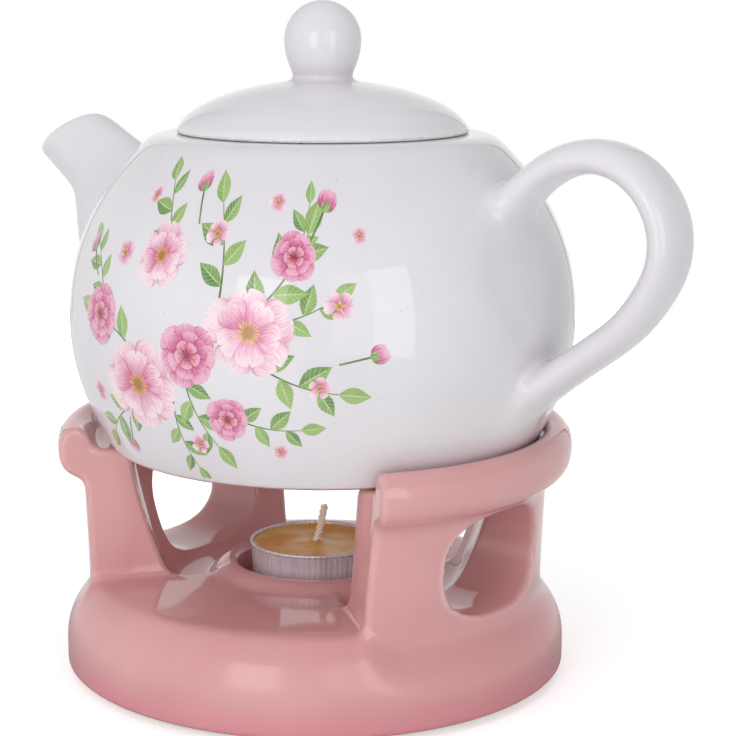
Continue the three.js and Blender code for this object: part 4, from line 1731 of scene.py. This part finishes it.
@dataclass
class FloralPrint:
    """A printed spray of wild roses, small blossoms and leafy sprigs on the pot's left front.

    The sheet's first axis runs round the pot to the right and its second up from the foot. The
    motifs and their places are this script's own.
    """

    pot: Pot
    middle_direction: float = -81.0
    clearance: float = 0.03
    layer_height: float = 0.35
    height_limits: Pair = (2.0, 86.0)
    roses: tuple[Spot, ...] = (
        Spot(-20, 27, 20, 1.0, 0.060),
        Spot(14.5, 44, -12, 0.92, 0.060),
        Spot(-14, 61.5, 55, 0.66, 0.060),
    )
    doubles: tuple[Spot, ...] = (
        Spot(-2.5, 37, 10, 0.86, 0.100),
        Spot(-36, 44, 40, 0.80, 0.060),
        Spot(26, 63, 70, 0.62, 0.060),
        Spot(8, 20.5, 15, 0.60, 0.060),
    )
    blossoms: tuple[Spot, ...] = (
        Spot(-29, 61, 0, 1.0), Spot(3, 68, 30, 0.9), Spot(38, 51, 12, 1.05),
        Spot(33, 30, 50, 0.8), Spot(-40, 22, 22, 0.9), Spot(20, 76, 5, 0.7),
        Spot(-2, 12.5, 40, 0.75), Spot(22, 12, 8, 0.6), Spot(-25, 76, 15, 0.65),
        Spot(44, 68, 25, 0.6),
    )
    buds: tuple[Spot, ...] = (
        Spot(34, 74, -25, 1.0), Spot(-6, 78, 18, 0.9), Spot(46, 38, -75, 0.9),
        Spot(-46, 60, 45, 0.9), Spot(-30, 10, 160, 0.8),
    )
    sprigs: tuple[Spot, ...] = (
        Spot(-16, 32, 62, 1.0, 0.010), Spot(12, 46, -38, 1.05, 0.012), Spot(14, 38, -112, 0.95, 0.008),
        Spot(-18, 22, 118, 0.9, 0.006), Spot(-12, 60, 22, 0.8, 0.010), Spot(-4, 34, -160, 0.85, 0.004),
        Spot(-34, 46, 35, 0.75, 0.006), Spot(6, 50, 8, 0.95, 0.014), Spot(8, 22, -100, 0.75, 0.006),
        Spot(24, 60, -20, 0.62, 0.008), Spot(-8, 24, -170, 0.7, 0.002), Spot(16, 46, -72, 0.8, 0.005),
    )

    def build(self) -> None:
        """Builds the motifs, lays them out on the sheet and wraps the sheet round the pot."""
        light = PrintedPetal("print_petal_light", (208, 104, 148), (238, 182, 204), (251, 230, 236)).build()
        deep = PrintedPetal("print_petal_deep", (162, 50, 100), (216, 116, 158), (240, 186, 208)).build()
        leaf = PrintedLeaf().build()
        stem = PrintedInk("print_stem", (120, 156, 84), (84, 112, 60)).build()
        gold = PrintedInk("print_stamen", (238, 196, 96), (176, 128, 62)).build()
        petal, bloom, scatter = petal_tree(), bloom_tree(), scatter_tree()
        blades = {
            "broad_petal": (11.5, 12.5, 1.7, 0.55, 0.14, 0.020, light),
            "rich_petal": (8.6, 8.8, 1.6, 0.55, 0.10, 0.028, deep),
            "small_petal": (3.3, 3.1, 1.5, 0.6, 0.10, 0.0, light),
            "folded_petal": (5.6, 3.9, 0.95, 0.75, 0.0, 0.0, deep),
            "bud_stalk": (9.0, 0.55, 1.0, 0.05, 0.0, 0.0, stem),
            "leaf_blade": (10.5, 5.4, 0.85, 1.15, 0.0, 0.012, leaf),
            "stamen_thread": (3.0, 0.42, 1.9, 0.7, 0.0, 0.0, gold),
            "stamen_dot": (1.0, 0.55, 1.2, 0.6, 0.0, 0.0, gold),
        }
        made = [made_by(name, petal, values) for name, values in blades.items()]
        broad, rich, small, folded, stalk, green, thread, dot = made
        for title, name, tree, values, spots in (
            ("print_sprigs", "sprig", sprig_tree(), (green, stem, 27.0, 4.0, 6, 0.95), self.sprigs),
            ("print_roses", "wild_rose", bloom, (broad, thread, 5, 5, 0, 22, 2.0, gold), self.roses),
            ("print_double_roses", "double_rose", bloom, (rich, thread, 7, 6, 5, 9, 2.2, deep), self.doubles),
            ("print_blossoms", "blossom", bloom, (small, dot, 5, 0, 0, 7, 0.7, gold), self.blossoms),
            ("print_buds", "bud", bud_tree(), (folded, green, stalk), self.buds),
        ):
            motif = made_by(name, tree, values)
            obj = made_by(title, scatter, (motif,), self.mesh_of(title, spots))
            self.wrap(obj)
            hand_over(obj, Body.TEAPOT, "pot_glaze")

    def mesh_of(self, name: str, spots: Sequence[Spot]) -> Mesh:
        """Makes the mesh of loose points that a motif is set on.

        Args:
            name: The mesh's name.
            spots: Where its points lie.

        Returns:
            The mesh.
        """
        mesh = bpy.data.meshes.new(name)
        mesh.from_pydata([(spot.u, spot.v, spot.layer * self.layer_height) for spot in spots], [], [])
        turns, sizes = [math.radians(spot.turn) for spot in spots], [spot.size for spot in spots]
        for label, values in (("turn", turns), ("size", sizes)):
            mesh.attributes.new(label, "FLOAT", "POINT").data.foreach_set("value", values)
        return mesh

    def wrap(self, obj: Object) -> None:
        """Bends a flat sheet round the pot, just over the glaze, with the glaze's own normals.

        Args:
            obj: The sheet, which is put in the scene.
        """
        mesh = obj.data
        flat = np.empty(len(mesh.vertices) * 3, np.float32)
        mesh.vertices.foreach_get("co", flat)
        flat = flat.reshape(-1, 3).astype(float)
        height = np.clip(flat[:, 1], *self.height_limits)
        lean = self.pot.lean(height)
        angle = math.radians(self.middle_direction) + flat[:, 0] / self.pot.radius
        size = np.sqrt(1 + lean**2)
        normals = np.stack([np.cos(angle) / size, np.sin(angle) / size, -lean / size], axis=1)
        radius = self.pot.outline(height)
        points = np.stack([radius * np.cos(angle), radius * np.sin(angle), height], axis=1)
        points += normals * (self.clearance + np.maximum(flat[:, 2], 0))[:, None] + np.array(self.pot.origin)
        mesh.vertices.foreach_set("co", (points * MM).astype(np.float32).ravel())
        mesh.update()
        mesh.polygons.foreach_set("use_smooth", np.ones(len(mesh.polygons), bool))
        mesh.normals_split_custom_set_from_vertices(normals.tolist())
        bpy.context.scene.collection.objects.link(obj)


# The tealight


@dataclass
class Tealight:
    """The tealight: a foil cup with a crimped edge, wax and a braided wick.

    Its wick holder is the frame's own. The cup's dents are waves that run round it, each given as
    (depth, how many, turn), and a strand's sizes are shares of the wick's radius.
    """

    floor: float = 20.35
    cup_radius: float = 18.8
    cup_height: float = 16.0
    cup_taper: float = 0.6
    cup_wall: float = 0.35
    cup_sides: int = 432
    foot_rounding: float = 0.9
    rim_bead: float = 0.42
    crimp_count: int = 72
    crimp_depth: float = 0.07
    dents: tuple[Triple, ...] = ((0.10, 3, 0.7), (0.05, 7, 2.0))
    wax_low: float = 0.6
    wax_height: float = 14.8
    wax_bore: float = 1.3
    wax_ripple: float = 0.07
    wax_sides: int = 96
    pocket_radius: float = 7.8
    pocket_top: float = 1.3
    wick_radius: float = 1.1
    wick_length: float = 11.3
    wick_lean: float = 2.8
    wick_direction: float = 36.0
    wick_power: float = 0.7
    wick_bottom: float = 1.1
    wick_steps: int = 48
    strands: int = 3
    strand_turns: float = 5.0
    strand_sides: int = 10
    strand_radius: float = 0.56
    strand_offset: float = 0.46
    fray: float = 0.25
    end_taper: float = 0.45

    def build(self, foil: Material, wax: Material, cotton: Material) -> None:
        """Builds the cup, the wax and the wick.

        Args:
            foil: The cup's material.
            wax: The wax's material.
            cotton: The wick's material.
        """
        for name, surface, material, slot, node in (
            ("foil_cup", self.cup(), foil, "cup_foil", "candle_cup"),
            ("wax_fill", self.wax(), wax, "candle_wax", "candle_wax"),
            ("braided_wick", self.wick(), cotton, "wick_cotton", "candle_wick"),
        ):
            obj = surface.to_object(name, material)
            close_up(obj)
            hand_over(obj, Body.TEALIGHT, slot, (node,))

    def cup(self) -> Surface:
        """Makes the cup with its beaded, crimped edge.

        Returns:
            Its surface.
        """
        low, bead, rounding = self.cup_radius - self.cup_taper, self.rim_bead, self.foot_rounding
        top = self.cup_height - bead
        outline = [(0, 0), (low - 1.2, 0), *arc((low - rounding, rounding), (rounding, rounding), -90, 0, 5)]
        outline += [(low + 0.25, 6.0), (low + 0.42, 11.0), (self.cup_radius - 0.1, top - 0.9)]
        outline += arc((self.cup_radius, top), (bead, bead), -60, 190, 10)
        outline += [(self.cup_radius - self.cup_wall - 0.12, top - 0.6), (low + 0.1 - self.cup_wall, 6.0)]
        outline += [(low - self.cup_wall, 1.2), (low - 1.2, self.cup_wall), (0, self.cup_wall)]
        surface = turned(outline, self.cup_sides, self.floor)
        angle = np.arctan2(surface.points[:, 1], surface.points[:, 0])
        height = surface.points[:, 2] - self.floor
        crimp = np.cos(angle * self.crimp_count) * self.crimp_depth
        dent = sum(depth * np.sin(angle * waves + turn) for depth, waves, turn in self.dents)
        pull = 1 + crimp * ease((height - 3) / 9) / self.cup_radius
        pull += dent * ease(height / 6) / self.cup_radius
        surface.points[:, :2] *= pull[:, None]
        return surface

    def wax(self) -> Surface:
        """Makes the wax, with its edge drawn up the cup and its middle round the wick.

        Returns:
            Its surface.
        """
        outer = self.cup_radius - self.cup_taper - self.cup_wall - 0.35
        rim = self.cup_radius - self.cup_wall - 0.42
        low, top, bore = self.wax_low, self.wax_height, self.wax_bore
        pocket, roof = self.pocket_radius, self.pocket_top
        outline = [(pocket, low), (outer, low), (rim, top - 1.4), (rim, top + 0.35)]
        outline += bend((rim, top + 0.35), (rim - 0.7, top - 0.35), (rim - 3.2, top - 0.4), 8)[1:]
        outline += [(11.0, top - 0.5), (6.0, top - 0.42), (3.4, top - 0.25)]
        outline += bend((3.4, top - 0.25), (1.9, top), (bore, top + 0.45), 6)[1:]
        outline += [(bore, 3.7), (2.2, 3.6), (2.2, roof), (pocket, roof), (pocket, low)]
        surface = turned(outline, self.wax_sides, self.floor)
        x, y, z = surface.points.T
        ripple = self.wax_ripple * np.sin(x * 0.9) * np.cos(y * 0.7 + 1)
        surface.points[:, 2] += np.where(z - self.floor > top - 0.8, ripple, 0)
        return surface

    def wick_path(self) -> Array:
        """Gives points along the middle of the wick: straight in the wax, then leaning over.

        Returns:
            The points, from the bottom up.
        """
        heights = np.linspace(self.wick_bottom, self.wax_height + self.wick_length, self.wick_steps)
        share = np.clip(heights - self.wax_height, 0, None) / self.wick_length
        lean = self.wick_lean * share**self.wick_power
        angle = math.radians(self.wick_direction)
        return np.stack([lean * math.cos(angle), lean * math.sin(angle), heights + self.floor], axis=1)

    def wick(self) -> Surface:
        """Makes the wick as strands wound round one another.

        Returns:
            Its surface.
        """
        path = self.wick_path()
        count, sides = len(path) * 3, self.strand_sides
        shares, knots = np.linspace(0, 1, count), np.linspace(0, 1, len(path))
        middle = np.stack([np.interp(shares, knots, values) for values in path.T], axis=1)
        offset = self.wick_radius * self.strand_offset * (1 + self.fray * ease((shares - 0.93) / 0.07))
        size = self.wick_radius * self.strand_radius * (1 - self.end_taper * ease((shares - 0.95) / 0.05))
        ring = np.linspace(0, 2 * math.pi, sides, endpoint=False)
        tubes, faces = [], []
        for number in range(self.strands):
            turn = 2 * math.pi * (self.strand_turns * shares + number / self.strands)
            tube = np.empty((count, sides, 3))
            tube[..., 0] = (middle[:, 0] + np.cos(turn) * offset)[:, None] + size[:, None] * np.cos(ring)
            tube[..., 1] = (middle[:, 1] + np.sin(turn) * offset)[:, None] + size[:, None] * np.sin(ring)
            tube[..., 2] = middle[:, 2:]
            tubes.append(tube.reshape(-1, 3))
            start = number * count * sides
            faces += ring_faces(count, sides, start)
            for row, order in ((0, -1), (count - 1, 1)):
                loop = list(range(start + row * sides, start + (row + 1) * sides))[::order]
                faces += [(loop[0], loop[j], loop[j + 1], loop[j + 2]) for j in range(1, sides - 2, 2)]
        return Surface(np.concatenate(tubes), np.array(faces))


# The studio

WHITE = (1.0, 1.0, 1.0, 1.0)


@dataclass(frozen=True)
class Softbox:
    """A soft lamp that faces the object.

    Attributes:
        name: Of the lamp.
        turn: Its direction round the object, in degrees to the right of the camera.
        height: Of its middle above the table, in metres.
        distance: From the object's axis, in metres.
        width: Its width in metres.
        length: Its length in metres.
        power: In watts.
        mirrored: Whether the glaze mirrors it.
    """

    name: str
    turn: float
    height: float
    distance: float
    width: float
    length: float
    power: float
    mirrored: bool = True


@dataclass
class Studio:
    """The camera of the photograph, a pale floor, a white surround and soft lamps.

    The glaze mirrors a tent, whose tones and seams are placed by how far they face the back, from 0
    to 1. The floor is mirrored as the tent is, but shaded close to the object. Distances are in
    metres and angles in degrees.
    """

    camera_place: Triple = (0.33008, -0.45431, 0.19981)
    camera_turn: float = 36.0
    camera_drop: float = 11.32
    camera_lens: float = 96.3
    camera_shift: Pair = (0.072, 0.0006)
    surround: float = 0.45
    tent_front: float = 0.85
    tent_side: float = 0.85
    tent_turn: Pair = (0.42, 0.80)
    tent_top: float = 0.5
    top_low: float = 0.10
    top_high: float = 0.60
    seam_angle: float = 23.0
    seam_width: float = 0.005
    seam_blend: float = 1.6
    seam_level: float = 0.12
    floor_size: float = 1.2
    floor_colour: Colour = (243, 243, 244)
    floor_glow: float = 0.45
    glow_start: float = 0.08
    shade: float = 0.35
    shade_range: Pair = (0.07, 0.16)
    aim_height: float = 0.1
    boxes: tuple[Softbox, ...] = (
        Softbox("window_right", 30, 0.235, 0.95, 0.30, 0.77, 1.1),
        Softbox("window_middle", 12, 0.235, 1.00, 0.30, 0.77, 0.45),
        Softbox("window_left", -27, 0.24, 1.15, 0.46, 0.80, 2.1),
        Softbox("fill_front", -36, 0.60, 1.15, 1.0, 0.8, 2.4, False),
        Softbox("overhead", 150, 1.30, 0.35, 1.4, 1.4, 3.0, False),
        Softbox("overhead_front", -40, 1.10, 0.80, 1.1, 1.1, 2.4, False),
    )

    def build(self) -> None:
        """Sets the camera, the world, the floor and the lamps."""
        scene = bpy.context.scene
        scene.view_settings.view_transform = "Standard"
        self.place_camera(scene)
        self.light_world(scene)
        self.lay_floor()
        for box in self.boxes:
            self.hang(box)

    def place_camera(self, scene: Scene) -> None:
        """Puts the camera where the photograph's was.

        Args:
            scene: The scene.
        """
        data = bpy.data.cameras.new("photo_camera")
        data.sensor_width = 36
        data.lens = self.camera_lens
        data.shift_x, data.shift_y = self.camera_shift
        data.clip_start = 0.01
        camera = bpy.data.objects.new("photo_camera", data)
        camera.location = self.camera_place
        camera.rotation_euler = (math.radians(90 - self.camera_drop), 0, math.radians(self.camera_turn))
        scene.collection.objects.link(camera)
        scene.camera = camera

    def light_world(self, scene: Scene) -> None:
        """Makes a white tent: white behind the object, with a seam on each side, and darker in front.

        The camera sees plain white. Reflections see the tent, and all else gets its even light.

        Args:
            scene: The scene.
        """
        world = bpy.data.worlds.new("surround")
        world.use_nodes = True
        world.node_tree.nodes.clear()
        n = Nodes(world.node_tree)
        way = n.pick(n.add("ShaderNodeTexCoord"), "Generated")
        dimmed = n.remap(n.split(way)[2], self.top_low, self.top_high, 1.0, self.tent_top)
        even = n.make("ShaderNodeBackground", WHITE, self.surround)
        tent = n.make("ShaderNodeBackground", self.tent_ramp(n, way), dimmed)
        white = n.make("ShaderNodeBackground", WHITE, 1.0)
        seen, mirrored = n.rays()
        mixed = n.make("ShaderNodeMixShader", mirrored, even, tent)
        n.add("ShaderNodeOutputWorld", n.make("ShaderNodeMixShader", seen, mixed, white))
        scene.world = world

    def tent_ramp(self, n: Nodes, way: Value) -> Value:
        """Gives the tent's brightness round the object.

        Args:
            n: The tree's builder.
            way: A direction from the object; its height has no effect.

        Returns:
            The brightness, as a colour.
        """
        turn = math.radians(self.camera_turn)
        flat = n.make("ShaderNodeVectorMath", way, (1.0, 1.0, 0.0), operation="MULTIPLY")
        level = n.make("ShaderNodeVectorMath", flat, operation="NORMALIZE")
        back = (-math.sin(turn), math.cos(turn), 0.0)
        facing = n.make("ShaderNodeVectorMath", level, back, operation="DOT_PRODUCT")
        ramp = n.add("ShaderNodeValToRGB", facing * 0.5 + 0.5)
        front_end, side_start = self.tent_turn
        stops = [(0.0, self.tent_front), (front_end, self.tent_front), (side_start, self.tent_side)]
        stops += [*self.seam_stops(), (1.0, 1.0)]
        elements = ramp.color_ramp.elements
        while len(elements) < len(stops):
            elements.new(0.5)
        for element, (place, tone) in zip(elements, stops):
            element.position = place
            element.color = (tone, tone, tone, 1)
        return n.pick(ramp, "Color")

    def seam_stops(self) -> list[Pair]:
        """Gives the ramp's stops round the tent's seam.

        Returns:
            The stops, as (how far it faces the back, brightness).
        """
        place = 0.5 + 0.5 * math.cos(math.radians(self.seam_angle))
        half, level = self.seam_width / 2, self.seam_level
        before, after = place - half * self.seam_blend, place + half * self.seam_blend
        return [(before, self.tent_side), (place - half, level), (place + half, level), (after, 1.0)]

    def lay_floor(self) -> None:
        """Lays the pale floor, which glows for the camera and is mirrored as the tent's lower part."""
        half = self.floor_size / 2
        corners = [(x * half, y * half, 0) for x, y in ((-1, -1), (1, -1), (1, 1), (-1, 1))]
        mesh = bpy.data.meshes.new("floor")
        mesh.from_pydata(corners, [], [(0, 1, 2, 3)])
        floor = bpy.data.objects.new("floor", mesh)
        s = Shader("pale_floor")
        seen, mirrored = s.rays()
        away = s.make("ShaderNodeVectorMath", s.place, operation="LENGTH")
        glow = s.remap(away, self.glow_start, half * 0.9, self.floor_glow, 1.0)
        shade = s.remap(away, *self.shade_range, self.shade, 1.0)
        s.set(Base_Color=s.mix(mirrored, self.floor_colour, (0, 0, 0)), Roughness=0.8, Specular_IOR_Level=0.0)
        s.set(Emission_Color=s.mix(mirrored, (255, 255, 255), self.tent_ramp(s, s.place)))
        s.set(Emission_Strength=seen * glow + mirrored * shade)
        mesh.materials.append(s.material)
        bpy.context.scene.collection.objects.link(floor)

    def hang(self, box: Softbox) -> None:
        """Hangs a lamp, facing the object.

        Args:
            box: The lamp.
        """
        data = bpy.data.lights.new(box.name, "AREA")
        data.shape = "RECTANGLE"
        data.size, data.size_y = box.width, box.length
        data.energy = box.power
        lamp = bpy.data.objects.new(box.name, data)
        angle = math.radians(self.camera_turn - 90 + box.turn)
        lamp.location = (box.distance * math.cos(angle), box.distance * math.sin(angle), box.height)
        aim = Vector((0, 0, self.aim_height)) - lamp.location
        lamp.rotation_euler = aim.to_track_quat("-Z", "Y").to_euler()
        lamp.visible_glossy = box.mirrored
        bpy.context.scene.collection.objects.link(lamp)


def main() -> None:
    """Builds the scene round the frame."""
    logging.basicConfig(level=logging.INFO, format="%(name)s: %(message)s")
    # Each glaze's third colour is its random mottle and its painted shade in hollows, and its fourth is its
    # painted highlight over edges.
    pink = Glaze(
        "warmer_glaze", (226, 169, 169), (205, 129, 133), (241, 205, 202), foot_top_mm=1.5,
        foot=(226, 206, 184), low_reflection_top_mm=16.0, low_roughness=0.2, low_top_mm=30.0,
    ).build()
    white = Glaze("pot_glaze", (233, 231, 235), (216, 211, 217), (240, 239, 239), foot_top_mm=67.3).build()
    Studio().build()
    Warmer().build(pink)
    pot = Pot()
    pot.build(white)
    FloralPrint(pot).build()
    Lid().build(white)
    Tealight().build(Foil().build(), Wax().build(), Cotton().build())
    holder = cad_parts["wick_holder"]
    holder.data.materials.clear()
    holder.data.materials.append(Tin().build())


if __name__ == "__main__":
    main()
